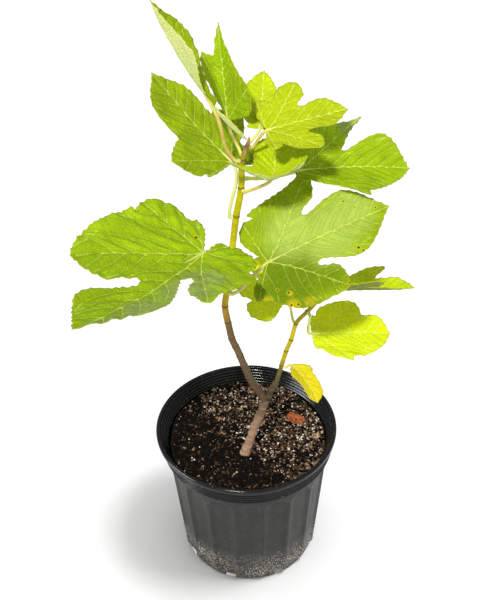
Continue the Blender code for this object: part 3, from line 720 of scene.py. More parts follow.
# Leaves
# Fig leaves are palmate: broad lobes with round-bottomed bays between them, scalloped
# edges, and pale veins that fan from the end of the stalk and quilt the blade between them.
SHOULDER = 0.95
EDGE_STEP = 0.0009
TOOTH_PITCH = 0.0066
LEAF_THICKNESS = 0.00045
STALK_BASE = 0.003
STALK_RUN = 0.16
STALK_SINK = 0.0006
STALK_FLARE = (1.35, 1.12)
STALK_SPREAD = 0.25
STALK_ARCH = 0.20
STALK_ARRIVE = 0.30
STALK_SAG = 0.06
QUILT_SHARE = 0.013
WAVE_SHARE = 0.012
RIM_STRENGTH = 0.45
LEAF_GRAIN = 0.5
LEAF_SHINE = 0.07
UNDER_GLOSS = 0.75
MIDRIB_WIDTHS = (0.00062, 0.00016)
LOBE_VEIN_WIDTHS = (0.00046, 0.00014)
SIDE_VEIN_WIDTHS = (0.00048, 0.00012)
VEIN_STEP = 0.0018
VEIN_MARGIN = 0.0012
FOLD_ROUND = 0.004
NET_SCALE = 380.0
LIMBS = {"main_shoot": MAIN_SHOOT, "side_shoot": SIDE_SHOOT}


def polar(angle, reach):
    turn = math.radians(angle)
    return np.array([reach * math.cos(turn), reach * math.sin(turn)])


def side_edge(half_width, lobes):
    """Points (u, v) of one half's outline from the tip to the last lobe, v positive."""
    edge = [np.array([1.0, 0.0]), np.array([(1 + lobes[0][1]) / 2, half_width])]
    for place, (sinus_angle, sinus, bowl, angle, reach, width) in enumerate(lobes):
        after = lobes[place + 1][1] if place + 1 < len(lobes) else reach / 2
        along, across = polar(angle, 1.0), polar(angle + 90, 1.0)
        outward, round_bowl = polar(sinus_angle, 1.0), polar(sinus_angle + 90, bowl)
        if bowl > 0:
            edge.append(outward * (sinus + bowl) - round_bowl)
        edge.append(outward * sinus)
        if bowl > 0:
            edge.append(outward * (sinus + bowl) + round_bowl)
        edge.append(along * min((sinus + reach) / 2, SHOULDER * reach) - across * width)
        edge.append(along * reach)
        edge.append(along * min((after + reach) / 2, SHOULDER * reach) + across * width)
    return edge


def scalloped(edge, tooth, seed):
    """An even run of points along the edge, pushed out into round teeth."""
    edge = even_line(edge, EDGE_STEP)
    along = np.arange(len(edge)) * np.linalg.norm(edge[1] - edge[0])
    ahead = np.gradient(edge, axis=0)
    ahead /= np.maximum(np.linalg.norm(ahead, axis=1), 1e-12)[:, None]
    outward = np.stack([-ahead[:, 1], ahead[:, 0]], -1)
    wander = [noise.noise((s * 45, seed, 0.5)) for s in along]
    phase = along / TOOTH_PITCH + 0.55 * np.array(wander)
    size = tooth * (0.8 + 0.5 * np.array([noise.noise((s * 80, seed, 4.5)) for s in along]))
    ends = smoothed(along / 0.003) * smoothed((along[-1] - along) / 0.003)
    push = size * (abs(np.sin(math.pi * phase)) - 0.55) * ends
    return edge + outward * push[:, None]


def inside_outline(points, outline):
    """Whether each point is inside the outline, and how far it is from its edge."""
    a, b = outline, np.roll(outline, -1, 0)
    px, py = points[:, 0, None], points[:, 1, None]
    crosses = (a[:, 1] > py) != (b[:, 1] > py)
    span = np.where(b[:, 1] == a[:, 1], 1e-12, b[:, 1] - a[:, 1])
    left_of = px < a[:, 0] + (b[:, 0] - a[:, 0]) * (py - a[:, 1]) / span
    inner = (crosses & left_of).sum(1) % 2 == 1
    return inner, line_distance(points, a, b)[0]


def line_distance(points, a, b):
    """Distance of each point to the nearest segment, that segment, and the share along it."""
    ab = b - a
    best = np.full(len(points), 1e9)
    which = np.zeros(len(points), int)
    share = np.zeros(len(points))
    for start in range(0, len(points), 2000):
        chunk = points[start : start + 2000, None]
        t = ((chunk - a) * ab).sum(-1) / np.maximum((ab * ab).sum(-1), 1e-18)
        t = np.clip(t, 0, 1)
        gap = np.linalg.norm(chunk - (a + ab * t[..., None]), axis=-1)
        nearest = gap.argmin(1)
        row = np.arange(len(nearest))
        best[start : start + 2000] = gap[row, nearest]
        which[start : start + 2000] = nearest
        share[start : start + 2000] = t[row, nearest]
    return best, which, share


def rib_offset(leaf, u):
    """How far the midrib is bowed to the left at u."""
    return leaf.get("bow", 0.0) * leaf["length"] * np.sin(math.pi * np.clip(u / leaf["length"], 0, 1))


def main_veins(leaf):
    """The midrib and one bowed vein to each lobe, as (points, half width at base, at tip)."""
    length = leaf["length"]
    scale = 0.75 + 2.6 * length
    u = np.linspace(0, length * 0.985, 18)
    wide, thin = MIDRIB_WIDTHS
    veins = [(np.stack([u, rib_offset(leaf, u)], -1), wide * scale, thin)]
    wide, thin = LOBE_VEIN_WIDTHS
    for sign, lobes in ((1, leaf["left"]), (-1, leaf["right"])):
        for _, _, _, angle, reach, _ in lobes:
            if reach < 0.15:
                continue
            bow = -9 if angle < 70 else 6
            line = [polar(angle + bow * (1 - t) ** 2, reach * 0.96 * t) for t in np.linspace(0, 1, 14)]
            line = np.array(line) * length * [1, sign]
            veins.append((line, wide * scale, thin))
    return veins


def side_veins(veins, outline, length, seed):
    """Veins that leave the main ones at a slant and bend towards the tip."""
    deal = np.random.default_rng(seed)
    found = []
    pitch = max(0.0075, 0.105 * length)
    for place, (line, wide, _) in enumerate(veins):
        reach = np.linalg.norm(line[-1] - line[0])
        others = [path for k, (path, _, _) in enumerate(veins) if k != place]
        other_a = np.vstack([path[:-1] for path in others])
        other_b = np.vstack([path[1:] for path in others])
        for side in (1, -1):
            mark = pitch * (0.8 if side == 1 else 1.25)
            while mark < reach * 0.86:
                share = mark / reach * (len(line) - 1)
                low = int(share)
                ahead = line[low + 1] - line[low]
                heading = math.atan2(ahead[1], ahead[0]) + side * math.radians(deal.uniform(48, 56))
                bend = -side * math.radians(deal.uniform(1.3, 2.0))
                path = [line[low] + ahead * (share - low)]
                for _ in range(60):
                    here = path[-1] + VEIN_STEP * np.array([math.cos(heading), math.sin(heading)])
                    heading += bend
                    inner, margin = inside_outline(here[None], outline)
                    own = line_distance(here[None], line[:-1], line[1:])[0][0]
                    other = line_distance(here[None], other_a, other_b)[0][0]
                    if not inner[0] or margin[0] < VEIN_MARGIN or (other < own * 0.7 and len(path) > 1):
                        break
                    path.append(here)
                if len(path) > 5:
                    base = min(wide * 0.62, SIDE_VEIN_WIDTHS[0])
                    found.append((np.array(path), base, SIDE_VEIN_WIDTHS[1]))
                mark += pitch * deal.uniform(0.85, 1.2)
    return found


def vein_strips(veins):
    """Lines for the mesh to follow: each vein's middle and its two edges."""
    lines = []
    for path, wide, thin in veins:
        ahead = np.gradient(path, axis=0)
        ahead /= np.linalg.norm(ahead, axis=1)[:, None]
        out = np.stack([-ahead[:, 1], ahead[:, 0]], -1)
        width = np.linspace(wide, thin, len(path))[:, None]
        lines.append(path)
        keep = slice(1, max(2, int(len(path) * 0.85)))
        lines.append((path + out * width)[keep])
        lines.append((path - out * width)[keep])
    return [line for line in lines if len(line) > 1]


def flat_blade(leaf):
    """The flat blade: its points, triangles, outline, and veins."""
    length, seed = leaf["length"], leaf["seed"]
    notch = np.array([-leaf.get("notch", 0.01), 0.0])
    halves = []
    for side, half_width in (("left", leaf["half_width"][0]), ("right", leaf["half_width"][1])):
        edge = smooth_line([*side_edge(half_width, leaf[side]), notch], 14) * length
        halves.append(scalloped(edge, leaf.get("tooth", 0.0009), seed + len(halves)))
    left, right = halves[0], halves[1] * [1, -1]
    outline = np.vstack([left, right[-2:0:-1]])
    mains = main_veins(leaf)
    veins = mains + side_veins(mains, outline, length, seed)
    grid = leaf.get("grid", 0.0011)
    low, high = outline.min(0), outline.max(0)
    row = np.arange(int((high[1] - low[1]) / (grid * 0.866)) + 1)
    column = np.arange(int((high[0] - low[0]) / grid) + 1)
    r, c = np.meshgrid(row, column, indexing="ij")
    cloud_points = np.stack([low[0] + (c + 0.5 * (r % 2)) * grid, low[1] + r * grid * 0.866], -1)
    cloud_points = cloud_points.reshape(-1, 2)
    cloud_points += np.random.default_rng(seed).uniform(-0.2, 0.2, cloud_points.shape) * grid
    inner, margin = inside_outline(cloud_points, outline)
    cloud_points = cloud_points[inner & (margin > grid * 0.6)]
    strips = []
    for strip in vein_strips(veins):
        inner, margin = inside_outline(strip, outline)
        kept = strip[inner & (margin > 0.0004)]
        if len(kept) > 1:
            strips.append(kept)
    a = np.vstack([strip[:-1] for strip in strips])
    b = np.vstack([strip[1:] for strip in strips])
    cloud_points = cloud_points[line_distance(cloud_points, a, b)[0] > grid * 0.45]
    spots = []
    for u, v, size in leaf.get("spots", ()):
        for reach, steps in ((0.0, 1), (0.7, 7), (1.1, 9), (2.4, 11)):
            for step in range(steps):
                spots.append(np.array([u, v]) * length + polar(step * 360 / steps, reach * size))
    points = [*outline]
    edges = []
    for strip in strips:
        edges += [(len(points) + k, len(points) + k + 1) for k in range(len(strip) - 1)]
        points += [*strip]
    points += [*cloud_points, *spots]
    flat = [Vector((float(p[0]), float(p[1]))) for p in points]
    loop = list(range(len(outline)))
    corners, _, faces, *_ = delaunay_2d_cdt(flat, edges, [loop], 1, 1e-7)
    return np.array([tuple(c) for c in corners]), faces, outline, veins, len(mains)


def soft_noise(u, v, scale, seed):
    return np.array([noise.noise((a * scale, b * scale, seed)) for a, b in zip(u, v)])


def bent_blade(leaf, u, v, lift):
    """Where flat points of the blade lie once it is folded, twisted and bent."""
    fold = np.where(v >= 0, math.radians(leaf["fold"][0]), math.radians(leaf["fold"][1]))
    twist = math.radians(leaf["twist"]) * u / leaf["length"]
    off_rib = v - rib_offset(leaf, u)
    rounded = np.sqrt(off_rib**2 + FOLD_ROUND * FOLD_ROUND) - FOLD_ROUND
    across = v * np.cos(fold)
    height = rounded * np.sin(fold) + lift
    across, height = (
        across * np.cos(twist) - height * np.sin(twist),
        across * np.sin(twist) + height * np.cos(twist),
    )
    bend = math.radians(leaf["droop"] if abs(leaf["droop"]) > 1e-3 else 1e-3) / leaf["length"]
    along, down = np.sin(bend * u) / bend, (1 - np.cos(bend * u)) / bend
    ahead, side, up = blade_frame(leaf)
    return (
        np.array(leaf["at"])
        + ahead * (along + height * np.sin(bend * u))[:, None]
        + side * across[:, None]
        + up * (height * np.cos(bend * u) - down)[:, None]
    )


def blade_frame(leaf):
    """Unit vectors along the midrib, to its left, and out of the upper side."""
    heading, pitch, roll = (math.radians(leaf[k]) for k in ("heading", "pitch", "roll"))
    level = math.cos(pitch)
    ahead = np.array([level * math.cos(heading), level * math.sin(heading), math.sin(pitch)])
    flat = np.array([-math.sin(heading), math.cos(heading), 0.0])
    left = flat * math.cos(roll) + np.cross(ahead, flat) * math.sin(roll)
    return ahead, left, np.cross(ahead, left)


def leaf_side_finish(name, tissue, shade, vein, gloss):
    """One side of a leaf: mottled tissue, a fine net of veins, main veins and blemishes, with painted
    shade and a painted sheen.
    """
    made, tree, shader = new_finish(name, tissue, gloss)
    marks = {}
    for mark in ("vein", "rim", "spot", "halo", "vein_valley_shade", "shade", "bloom", "gold", "dull"):
        marks[mark] = add_node(tree, "ShaderNodeAttribute", {"attribute_name": mark}).outputs["Fac"]
    mottle = maths(tree, "MULTIPLY", cloud(tree, 60, 0.35, 0.65), 0.55)
    colour = blend_colours(tree, mottle, tissue, shade)
    # Painted shade where a zone is marked as shaded.
    colour = blend_colours(tree, marks["shade"], colour, shade)
    # A painted whitish sheen.
    colour = blend_colours(tree, marks["bloom"], colour, paint(196, 218, 112))
    colour = blend_colours(tree, marks["gold"], colour, paint(196, 176, 16))
    # A grey-green that is partly the underside showing and partly painted shade.
    colour = blend_colours(tree, marks["dull"], colour, paint(132, 152, 92))
    net = add_node(
        tree, "ShaderNodeTexVoronoi", {"feature": "DISTANCE_TO_EDGE"},
        Vector=place_of(tree), Scale=NET_SCALE,
    ).outputs["Distance"]
    net = ramp(tree, net, 0.18, 0.02)
    colour = blend_colours(tree, maths(tree, "MULTIPLY", net, 0.09), colour, vein)
    # Painted shade in the hollows beside the veins.
    colour = blend_colours(tree, maths(tree, "MULTIPLY", marks["vein_valley_shade"], 0.32), colour, shade)
    halo = maths(tree, "MULTIPLY", marks["halo"], 0.7)
    colour = blend_colours(tree, halo, colour, paint(190, 186, 20))
    rim = maths(tree, "MULTIPLY", marks["rim"], RIM_STRENGTH)
    colour = blend_colours(tree, rim, colour, paint(176, 160, 50))
    colour = blend_colours(tree, marks["vein"], colour, vein)
    colour = blend_colours(tree, marks["spot"], colour, paint(64, 28, 18))
    tree.links.new(colour, shader.inputs["Base Color"])
    relief = maths(tree, "ADD", maths(tree, "MULTIPLY", net, -0.7), cloud(tree, 420, 0.2, 0.8))
    raise_surface(tree, shader, relief, LEAF_GRAIN, 0.0010)
    shader.inputs["Specular IOR Level"].default_value = LEAF_SHINE
    return made


def mark_blade(mesh, name, values):
    layer = mesh.attributes.new(name, "FLOAT", "POINT")
    layer.data.foreach_set("value", np.asarray(values, np.float32))


def limb_at(points, height):
    """Centre and radius of a limb at a height."""
    line = limb_line(points)
    i = int(np.argmax(line[:, 2] > height))
    low, high = line[i - 1], line[i]
    return low + (high - low) * (height - low[2]) / (high[2] - low[2])


def stalk_line(leaf):
    """From the limb's skin, out and up to the blade, then under its midrib."""
    limb = LIMBS[leaf["limb"]]
    centre, above = limb_at(limb, leaf["node"]), limb_at(limb, leaf["node"] + 0.001)
    grain = (above - centre)[:3] / np.linalg.norm((above - centre)[:3])
    turn = math.radians(leaf["leave"])
    out = np.array([math.cos(turn), math.sin(turn), 0.0])
    out = out - grain * np.dot(out, grain)
    out = out / np.linalg.norm(out)
    radius = leaf["stalk"]
    start = centre[:3] + out * (centre[3] - STALK_SINK)
    end = np.array(leaf["at"]) - blade_frame(leaf)[2] * radius * 0.6
    span = np.linalg.norm(end - start)
    base = start + out * STALK_BASE
    leave = base + out * span * leaf.get("spread", STALK_SPREAD)
    leave[2] += span * leaf.get("arch", STALK_ARCH)
    arrive = end - blade_frame(leaf)[0] * span * STALK_ARRIVE - np.array([0, 0, span * STALK_SAG])
    line = [[*start, radius * STALK_FLARE[0]], [*base, radius * STALK_FLARE[1]]]
    for t in np.linspace(0.06, 1, 14):
        mixed = (
            base * (1 - t) ** 3
            + leave * 3 * t * (1 - t) ** 2
            + arrive * 3 * t * t * (1 - t)
            + end * t**3
        )
        line.append([*mixed, radius])
    run = STALK_RUN * leaf["length"]
    for share in (0.25, 0.5, 0.75, 1.0):
        at = bent_blade(leaf, np.array([run * share]), np.array([0.0]), -radius * 0.6 * (1 - share))
        line.append([*at[0], radius * (1 - 0.8 * share)])
    return np.array(line)


def grow_leaf(upper, under, stalk_colour, gloss=0.5, **leaf):
    """A leaf and its stalk. Upper and under are (tissue, shade, vein) colours."""
    name, length, seed = leaf["name"], leaf["length"], leaf["seed"]
    points, faces, outline, veins, mains = flat_blade(leaf)
    u, v = points[:, 0], points[:, 1]
    a = np.vstack([path[:-1] for path, _, _ in veins])
    b = np.vstack([path[1:] for path, _, _ in veins])
    wide = np.concatenate([
        np.linspace(base, thin, len(path))[:-1] for path, base, thin in veins
    ])
    main_count = sum(len(path) - 1 for path, _, _ in veins[:mains])
    gap, nearest, _ = line_distance(points, a, b)
    strength = np.where(nearest < main_count, 1.0, 0.8) * np.clip(wide[nearest] / 0.00036, 0, 1)
    vein = np.clip(1 - gap / wide[nearest], 0, 1) * strength
    margin = inside_outline(points, outline)[1]
    quilt = leaf.get("quilt", QUILT_SHARE * length)
    lift = quilt * (1 - np.exp(-((gap / (0.022 * length + 0.0012)) ** 2))) - 0.5 * quilt
    lift += 0.25 * quilt * soft_noise(u, v, 330, seed + 7)
    lift += 0.004 * length * soft_noise(u, v, 130, seed)
    wave = WAVE_SHARE * length * soft_noise(u, v, 30 / (length / 0.1), seed + 0.5)
    lift += wave * smoothed(1 - margin / (0.16 * length)) * 2
    lift *= smoothed(np.hypot(u, v) / 0.006)
    for curl_u, curl_v, size, rise in leaf.get("curls", ()):
        reach = np.hypot(u / length - curl_u, v / length - curl_v) / size
        lift += rise * smoothed(1.5 - reach) * smoothed(1 - margin / (1.5 * rise)) ** 2
    place = bent_blade(leaf, u, v, lift)
    upper_finish = leaf_side_finish(name + "_upper", *upper, gloss)
    under_finish = leaf_side_finish(name + "_under", *under, UNDER_GLOSS)
    blade = new_piece(name + "_blade", place, faces, upper_finish, under_finish)
    mesh = blade.data
    mark_blade(mesh, "vein", vein)
    mark_blade(mesh, "rim", smoothed(1 - margin / 0.0011))
    # Painted shade in the hollows beside the veins.
    mark_blade(mesh, "vein_valley_shade", np.exp(-((gap / 0.0024) ** 2)) * (vein < 0.2))
    spot, halo = np.zeros(len(u)), np.zeros(len(u))
    for spot_u, spot_v, size in leaf.get("spots", ()):
        reach = np.hypot(u - spot_u * length, v - spot_v * length) / size
        spot = np.maximum(spot, smoothed((1.15 - reach) / 0.4))
        halo = np.maximum(halo, smoothed((2.6 - reach) / 1.6))
    # Marked zones: painted shade, a painted sheen, real yellowing at the edge, and a grey-green that is
    # partly the underside showing and partly painted shade.
    for mark in ("shade", "bloom", "gold", "dull"):
        depth = np.zeros(len(u))
        for zone_u, zone_v, size, most in leaf.get(mark, ()):
            reach = np.hypot(u / length - zone_u, v / length - zone_v) / size
            depth = np.maximum(depth, most * smoothed(1.5 - reach))
        mark_blade(mesh, mark, depth)
    mark_blade(mesh, "spot", spot)
    mark_blade(mesh, "halo", halo)
    skin = blade.modifiers.new("thickness", "SOLIDIFY")
    skin.thickness = LEAF_THICKNESS
    skin.offset = -1
    skin.material_offset = 1
    skin.material_offset_rim = 0
    seen_mesh(blade)
    slot = "yellow_foliage" if name == "leaf_yellow_small" else "foliage"
    set_piece(blade, slot, name)
    line = even_line(smooth_line(stalk_line(leaf), 4), 0.0007)
    relief = bark_relief(line, 16, (), 0.0, 0.00003, seed)
    made = capped_limb(name + "_stalk", line, 16, relief, stalk_finish(name, stalk_colour, upper[2]))
    set_piece(made, slot, name)


def stalk_finish(name, colour, tip):
    """A smooth stalk, mottled with the pale colour of the blade's veins."""
    made, tree, shader = new_finish(name + "_stalk", colour, 0.45)
    colour = blend_colours(tree, cloud(tree, 120, 0.35, 0.7), colour, tip)
    tree.links.new(colour, shader.inputs["Base Color"])
    return made


FRESH = (paint(156, 188, 0), paint(116, 146, 0), paint(214, 226, 104))
DEEP = (paint(148, 176, 0), paint(98, 124, 0), paint(202, 214, 96))
LIME = (paint(198, 220, 0), paint(164, 186, 0), paint(230, 236, 110))
# A lime made lighter with painted light, for leaves that other leaves shadow under these lamps.
LIME_PAINTED_LIT = (paint(226, 244, 0), paint(196, 214, 0), paint(240, 244, 130))
PALE_UNDER = (paint(188, 202, 110), paint(150, 168, 78), paint(240, 244, 214))
GREEN_STALK = paint(196, 200, 96)

# Angles are in degrees. A lobe is the angle, depth and width of the bay before it, then its
# own angle, reach and half width. A curl or a colour mark is its u, v, size and strength, with
# u along the blade and v to its left. Reaches and places are shares of the blade's length.
grow_leaf(
    FRESH, PALE_UNDER, GREEN_STALK,
    name="leaf_lower_left", length=0.160, at=(-0.0307, -0.0357, 0.3730), seed=1,
    heading=239, pitch=12, roll=-7, fold=(8, 14), droop=-3, twist=22,
    half_width=(0.22, 0.17),
    left=(
        (21, 0.33, 0.022, 34, 0.65, 0.08),
        (75, 0.36, 0, 105, 0.27, 0.08),
        (150, 0.19, 0, 160, 0.16, 0.03),
    ),
    right=(
        (7, 0.46, 0.032, 34, 0.66, 0.17),
        (83, 0.41, 0, 94, 0.41, 0.08),
        (116, 0.33, 0, 136, 0.24, 0.03),
    ),
    limb="main_shoot", node=0.330, leave=230, stalk=0.0017,
    grid=0.0013, quilt=0.0021, tooth=0.0013, bow=0.045,
    spots=(
        (-0.06, -0.09, 0.0014), (0.28, -0.44, 0.0005), (0.445, -0.295, 0.0006),
        (0.20, -0.355, 0.0004), (0.33, 0.155, 0.0006), (0.335, -0.03, 0.0004),
        (0.04, -0.38, 0.0005),
    ),
    # Painted shade over parts of the blade, and a grey-green strip of painted shade along its near
    # half.
    shade=((0.62, -0.20, 0.22, 0.6), (0.35, 0.06, 0.14, 0.5), (0.80, 0.05, 0.20, 0.8)),
    dull=(
        (0.25, 0.17, 0.10, 0.7), (0.45, 0.20, 0.12, 0.8), (0.70, 0.20, 0.14, 0.8),
        (0.9, 0.12, 0.1, 0.7),
    ),
)
grow_leaf(
    DEEP, PALE_UNDER, paint(176, 164, 90), 0.38,
    name="leaf_middle_right", length=0.103, at=(0.0189, -0.0303, 0.3585), seed=2,
    heading=5, pitch=29, roll=26, fold=(13, 5), droop=11, twist=6,
    half_width=(0.25, 0.27),
    left=((29, 0.44, 0.024, 43, 0.73, 0.12), (91, 0.40, 0, 100, 0.37, 0.09)),
    right=((28, 0.40, 0.023, 43, 0.70, 0.13), (75, 0.52, 0, 121, 0.33, 0.06)),
    limb="main_shoot", node=0.319, leave=330, stalk=0.0016, quilt=0.0006,
    spots=(
        (0.67, -0.22, 0.0011), (0.695, -0.26, 0.0008), (0.70, 0.17, 0.0006),
        (0.76, 0.095, 0.0005), (0.90, 0.03, 0.0006), (0.625, 0.215, 0.0005),
        (0.645, -0.035, 0.0004), (0.825, -0.125, 0.0004), (0.255, 0.08, 0.0004),
        (0.215, -0.28, 0.0005), (0.07, -0.325, 0.0010), (-0.005, -0.26, 0.0008),
        (0.095, -0.365, 0.0006), (0.51, -0.455, 0.0008), (0.465, -0.45, 0.0006),
        (0.16, -0.43, 0.0006), (-0.125, -0.265, 0.0008), (-0.08, -0.325, 0.0010),
        (0.06, -0.435, 0.0010), (0.11, -0.455, 0.0010), (0.445, -0.465, 0.0007),
    ),
    # A painted sheen on the upper half; painted shade over the lower half and by the stalk's end.
    bloom=((0.25, 0.12, 0.20, 0.5), (0.5, -0.02, 0.22, 0.5), (0.70, 0.06, 0.18, 0.45)),
    shade=((0.12, -0.22, 0.27, 1.0), (0.38, -0.34, 0.14, 0.8)),
    gold=(
        (0.07, -0.44, 0.05, 0.7), (-0.10, -0.31, 0.04, 0.6), (0.2, -0.47, 0.04, 0.6),
        (0.08, -0.34, 0.02, 0.8),
    ),
)
grow_leaf(
    DEEP, PALE_UNDER, paint(214, 214, 150),
    name="leaf_upper_left", length=0.093, at=(-0.0072, -0.0036, 0.4332), seed=3,
    heading=141, pitch=26, roll=3, fold=(8, 2), droop=-15, twist=-7,
    half_width=(0.24, 0.18),
    left=((35, 0.47, 0.012, 64, 0.57, 0.11), (88, 0.42, 0, 92, 0.35, 0.02)),
    right=((25, 0.50, 0.023, 52, 0.59, 0.08), (67, 0.24, 0, 110, 0.41, 0.10)),
    limb="main_shoot", node=0.389, leave=185, stalk=0.0013, spread=0.03, arch=0.30,
)
grow_leaf(
    DEEP, (paint(216, 224, 138), paint(182, 196, 100), paint(248, 248, 226)),
    paint(222, 168, 104),
    name="leaf_top_folded", length=0.085, at=(-0.0190, -0.0247, 0.4905), seed=4,
    heading=165, pitch=54, roll=-1, fold=(59, 34), droop=-14, twist=6,
    half_width=(0.28, 0.22),
    left=((24, 0.10, 0, 152, 0.41, 0.05),),
    right=((24, 0.26, 0, 59, 0.10, 0.03),),
    limb="main_shoot", node=0.438, leave=200, stalk=0.0014,
)
grow_leaf(
    FRESH, PALE_UNDER, paint(222, 190, 120),
    name="leaf_top_upright", length=0.073, at=(-0.0104, 0.0164, 0.4566), seed=5,
    heading=105, pitch=73, roll=-41, fold=(41, 31), droop=0, twist=-6,
    half_width=(0.05, 0.07),
    left=((7, 0.69, 0, 16, 0.75, 0.06),),
    right=((19, 0.65, 0, 49, 0.59, 0.19),),
    limb="main_shoot", node=0.441, leave=110, stalk=0.0013,
)
grow_leaf(
    (paint(178, 198, 0), paint(150, 170, 0), LIME[2]), PALE_UNDER, paint(186, 150, 90),
    name="leaf_crown_right", length=0.062, at=(0.0191, -0.0077, 0.4623), seed=6,
    heading=11, pitch=10, roll=7, fold=(12, 9), droop=2, twist=4,
    half_width=(0.25, 0.25),
    left=((28, 0.51, 0.040, 49, 0.79, 0.17), (69, 0.44, 0, 91, 0.49, 0.07)),
    right=((28, 0.51, 0.054, 51, 0.82, 0.18), (76, 0.42, 0, 89, 0.50, 0.08)),
    limb="main_shoot", node=0.4490, leave=20, stalk=0.0012,
)
grow_leaf(
    LIME, PALE_UNDER, paint(214, 216, 140),
    name="leaf_crown_back", length=0.068, at=(0.0140, 0.0040, 0.4580), seed=7,
    heading=86, pitch=14, roll=0, fold=(8, 8), droop=4, twist=0,
    half_width=(0.20, 0.13),
    left=((26, 0.33, 0.020, 40, 0.34, 0.05), (70, 0.14, 0, 92, 0.14, 0.03)),
    right=((27, 0.46, 0.030, 42, 0.52, 0.04), (71, 0.35, 0, 97, 0.32, 0.09)),
    limb="main_shoot", node=0.4450, leave=80, stalk=0.0012,
)
grow_leaf(
    FRESH, PALE_UNDER, GREEN_STALK,
    name="leaf_right_wide", length=0.095, at=(0.0421, 0.0094, 0.4166), seed=8,
    heading=9, pitch=2, roll=21, fold=(46, 28), droop=20, twist=14,
    half_width=(0.29, 0.16),
    left=((22, 0.41, 0.016, 39, 0.67, 0.04), (59, 0.44, 0, 102, 0.30, 0.08)),
    right=((26, 0.70, 0, 40, 0.66, 0.05), (60, 0.25, 0, 80, 0.20, 0.04)),
    limb="main_shoot", node=0.4230, leave=10, stalk=0.0015, arch=-0.05,
    # A greyed lobe, where the underside shows.
    dull=((0.52, 0.43, 0.10, 0.9), (0.42, 0.34, 0.07, 0.8)),
)
grow_leaf(
    LIME, PALE_UNDER, paint(226, 190, 110),
    name="leaf_crown_cupped", length=0.056, at=(0.0226, -0.0310, 0.4365), seed=9,
    heading=84, pitch=-14, roll=-4, fold=(28, 26), droop=-46, twist=0,
    half_width=(0.30, 0.28),
    left=((72, 0.33, 0, 128, 0.80, 0.18),),
    right=((58, 0.45, 0, 118, 0.54, 0.16),),
    notch=0.38,
    curls=((-0.25, 0.1, 0.30, 0.0030), (-0.1, -0.4, 0.25, 0.0030), (0.1, -0.5, 0.2, 0.003)),
    limb="main_shoot", node=0.4140, leave=310, stalk=0.0013,
)
grow_leaf(
    LIME, (paint(142, 152, 72), paint(112, 124, 52), paint(196, 202, 156)), GREEN_STALK,
    name="leaf_right_folded", length=0.075, at=(0.0683, 0.0099, 0.2992), seed=10,
    heading=-8, pitch=6, roll=1, fold=(3, 52), droop=0, twist=1,
    half_width=(0.18, 0.18),
    left=((19, 0.58, 0.016, 30, 0.76, 0.07),),
    right=((24, 0.51, 0, 34, 0.81, 0.12),),
    limb="side_shoot", node=0.3000, leave=60, stalk=0.0011,
)
grow_leaf(
    LIME_PAINTED_LIT, PALE_UNDER, GREEN_STALK,
    name="leaf_lower_right", length=0.068, at=(0.0567, -0.0097, 0.2674), seed=11,
    heading=4, pitch=0, roll=6, fold=(10, 8), droop=10, twist=9,
    half_width=(0.24, 0.22),
    left=((22, 0.70, 0, 37, 0.73, 0.16), (73, 0.40, 0, 82, 0.30, 0.03)),
    right=((32, 0.74, 0, 49, 0.67, 0.06), (65, 0.49, 0, 85, 0.31, 0.02)),
    limb="side_shoot", node=0.2930, leave=-60, stalk=0.0012,
)
grow_leaf(
    (paint(232, 218, 0), paint(206, 186, 0), paint(246, 240, 140)), PALE_UNDER, paint(214, 196, 90),
    name="leaf_yellow_small", length=0.041, at=(0.0386, -0.0190, 0.2407), seed=12,
    heading=-46, pitch=-14, roll=-19, fold=(17, 19), droop=30, twist=0,
    half_width=(0.25, 0.28),
    left=((25, 0.71, 0, 48, 0.49, 0.07),),
    right=((26, 0.64, 0, 49, 0.50, 0.04),),
    limb="side_shoot", node=0.2345, leave=-30, stalk=0.0009,
)
grow_leaf(
    LIME_PAINTED_LIT, PALE_UNDER, GREEN_STALK,
    name="leaf_behind_middle", length=0.045, at=(0.0342, 0.0001, 0.2968), seed=13,
    heading=178, pitch=22, roll=-16, fold=(7, 13), droop=10, twist=0,
    half_width=(0.20, 0.25),
    left=((21, 0.68, 0, 46, 0.88, 0.25),),
    right=((23, 0.60, 0, 43, 0.98, 0.22),),
    limb="side_shoot", node=0.2795, leave=120, stalk=0.0011,
)


# Studio
# A seamless white floor. A small lamp high in front lights the plant, a soft one at the left
# lights the pot, and broad ones light the floor, on which only the pot throws its shadow.
AIM = Vector((0.0055, 0.0, 0.297))
CAMERA_DISTANCE = 0.85
CAMERA_PITCH = math.radians(38.4)
CAMERA_ROLL = math.radians(-1.0)
CAMERA_LENS = 60.7
FLOOR_SIZE = 8.0
ROOM_LIGHT = 0.5
SENSOR_WIDTH = 36

bpy.ops.mesh.primitive_plane_add(size=FLOOR_SIZE, location=(0, 0, 0))
floor = bpy.context.active_object
floor.name = "studio_floor"
floor.data.materials.append(plain_finish("white_floor", (0.93, 0.93, 0.93), 0.9))


def soft_light(name, towards, distance, size, power, colour=(1, 1, 1)):
    """A square soft lamp that faces the middle of the plant from that direction."""
    data = bpy.data.lights.new(name, "AREA")
    data.size = size
    data.energy = power
    data.color = colour
    lamp = bpy.data.objects.new(name, data)
    lamp.location = AIM + Vector(towards).normalized() * distance
    lamp.rotation_euler = (AIM - lamp.location).to_track_quat("-Z", "Y").to_euler()
    bpy.context.scene.collection.objects.link(lamp)
    return lamp


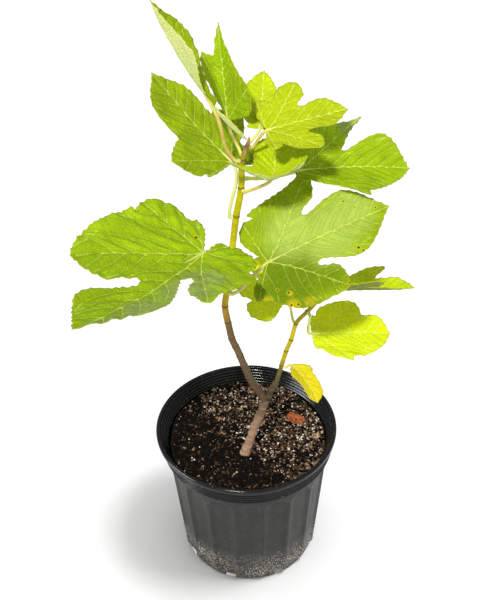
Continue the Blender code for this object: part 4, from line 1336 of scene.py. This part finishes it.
def linked_group(name, members):
    group = bpy.data.collections.new(name)
    for member in members:
        group.objects.link(member)
    return group


key = soft_light("key_light", (-0.24, -0.80, 1.0), 2.4, 0.18, 54, (1.0, 0.985, 0.94))
fill = soft_light("fill_light", (0.8, -1.0, 0.7), 2.2, 1.6, 6)
plant = [thing for thing in bpy.context.scene.objects if thing.type == "MESH" and thing != floor]
key.light_linking.receiver_collection = linked_group("lit_by_key", plant)
fill.light_linking.receiver_collection = linked_group("lit_by_fill", plant)
side = soft_light("side_light", (-1.0, -0.25, 0.35), 1.6, 0.8, 34)
side.light_linking.receiver_collection = linked_group("lit_from_the_side", [pot])
wash = soft_light("floor_light", (0.42, -0.05, 1.0), 6.0, 1.8, 215)
wash.light_linking.receiver_collection = linked_group("lit_floor", [floor])
wash.light_linking.blocker_collection = linked_group("shading_the_floor", [pot])
glow = soft_light("floor_glow", (0.0, 0.0, 1.0), 6.0, 4.0, 130)
glow.light_linking.receiver_collection = linked_group("lit_floor_evenly", [floor])
glow.light_linking.blocker_collection = linked_group("shading_the_foot", [pot])
world = bpy.data.worlds.new("studio")
world.use_nodes = True
room = world.node_tree.nodes["Background"]
room.inputs["Color"].default_value = (1, 1, 1, 1)
room.inputs["Strength"].default_value = ROOM_LIGHT
bpy.context.scene.world = world

camera_data = bpy.data.cameras.new("camera")
camera_data.lens = CAMERA_LENS
camera_data.sensor_width = SENSOR_WIDTH
camera = bpy.data.objects.new("camera", camera_data)
ahead = Vector((0, math.cos(CAMERA_PITCH), -math.sin(CAMERA_PITCH)))
above = Vector((0, math.sin(CAMERA_PITCH), math.cos(CAMERA_PITCH)))
right = Vector((1, 0, 0)) * math.cos(CAMERA_ROLL) + above * math.sin(CAMERA_ROLL)
above = right.cross(ahead)
place = AIM - ahead * CAMERA_DISTANCE
camera.matrix_world = Matrix(
    [(right[k], above[k], -ahead[k], place[k]) for k in range(3)] + [(0, 0, 0, 1)]
)
bpy.context.scene.collection.objects.link(camera)
bpy.context.scene.camera = camera
bpy.context.scene.view_settings.view_transform = "Standard"
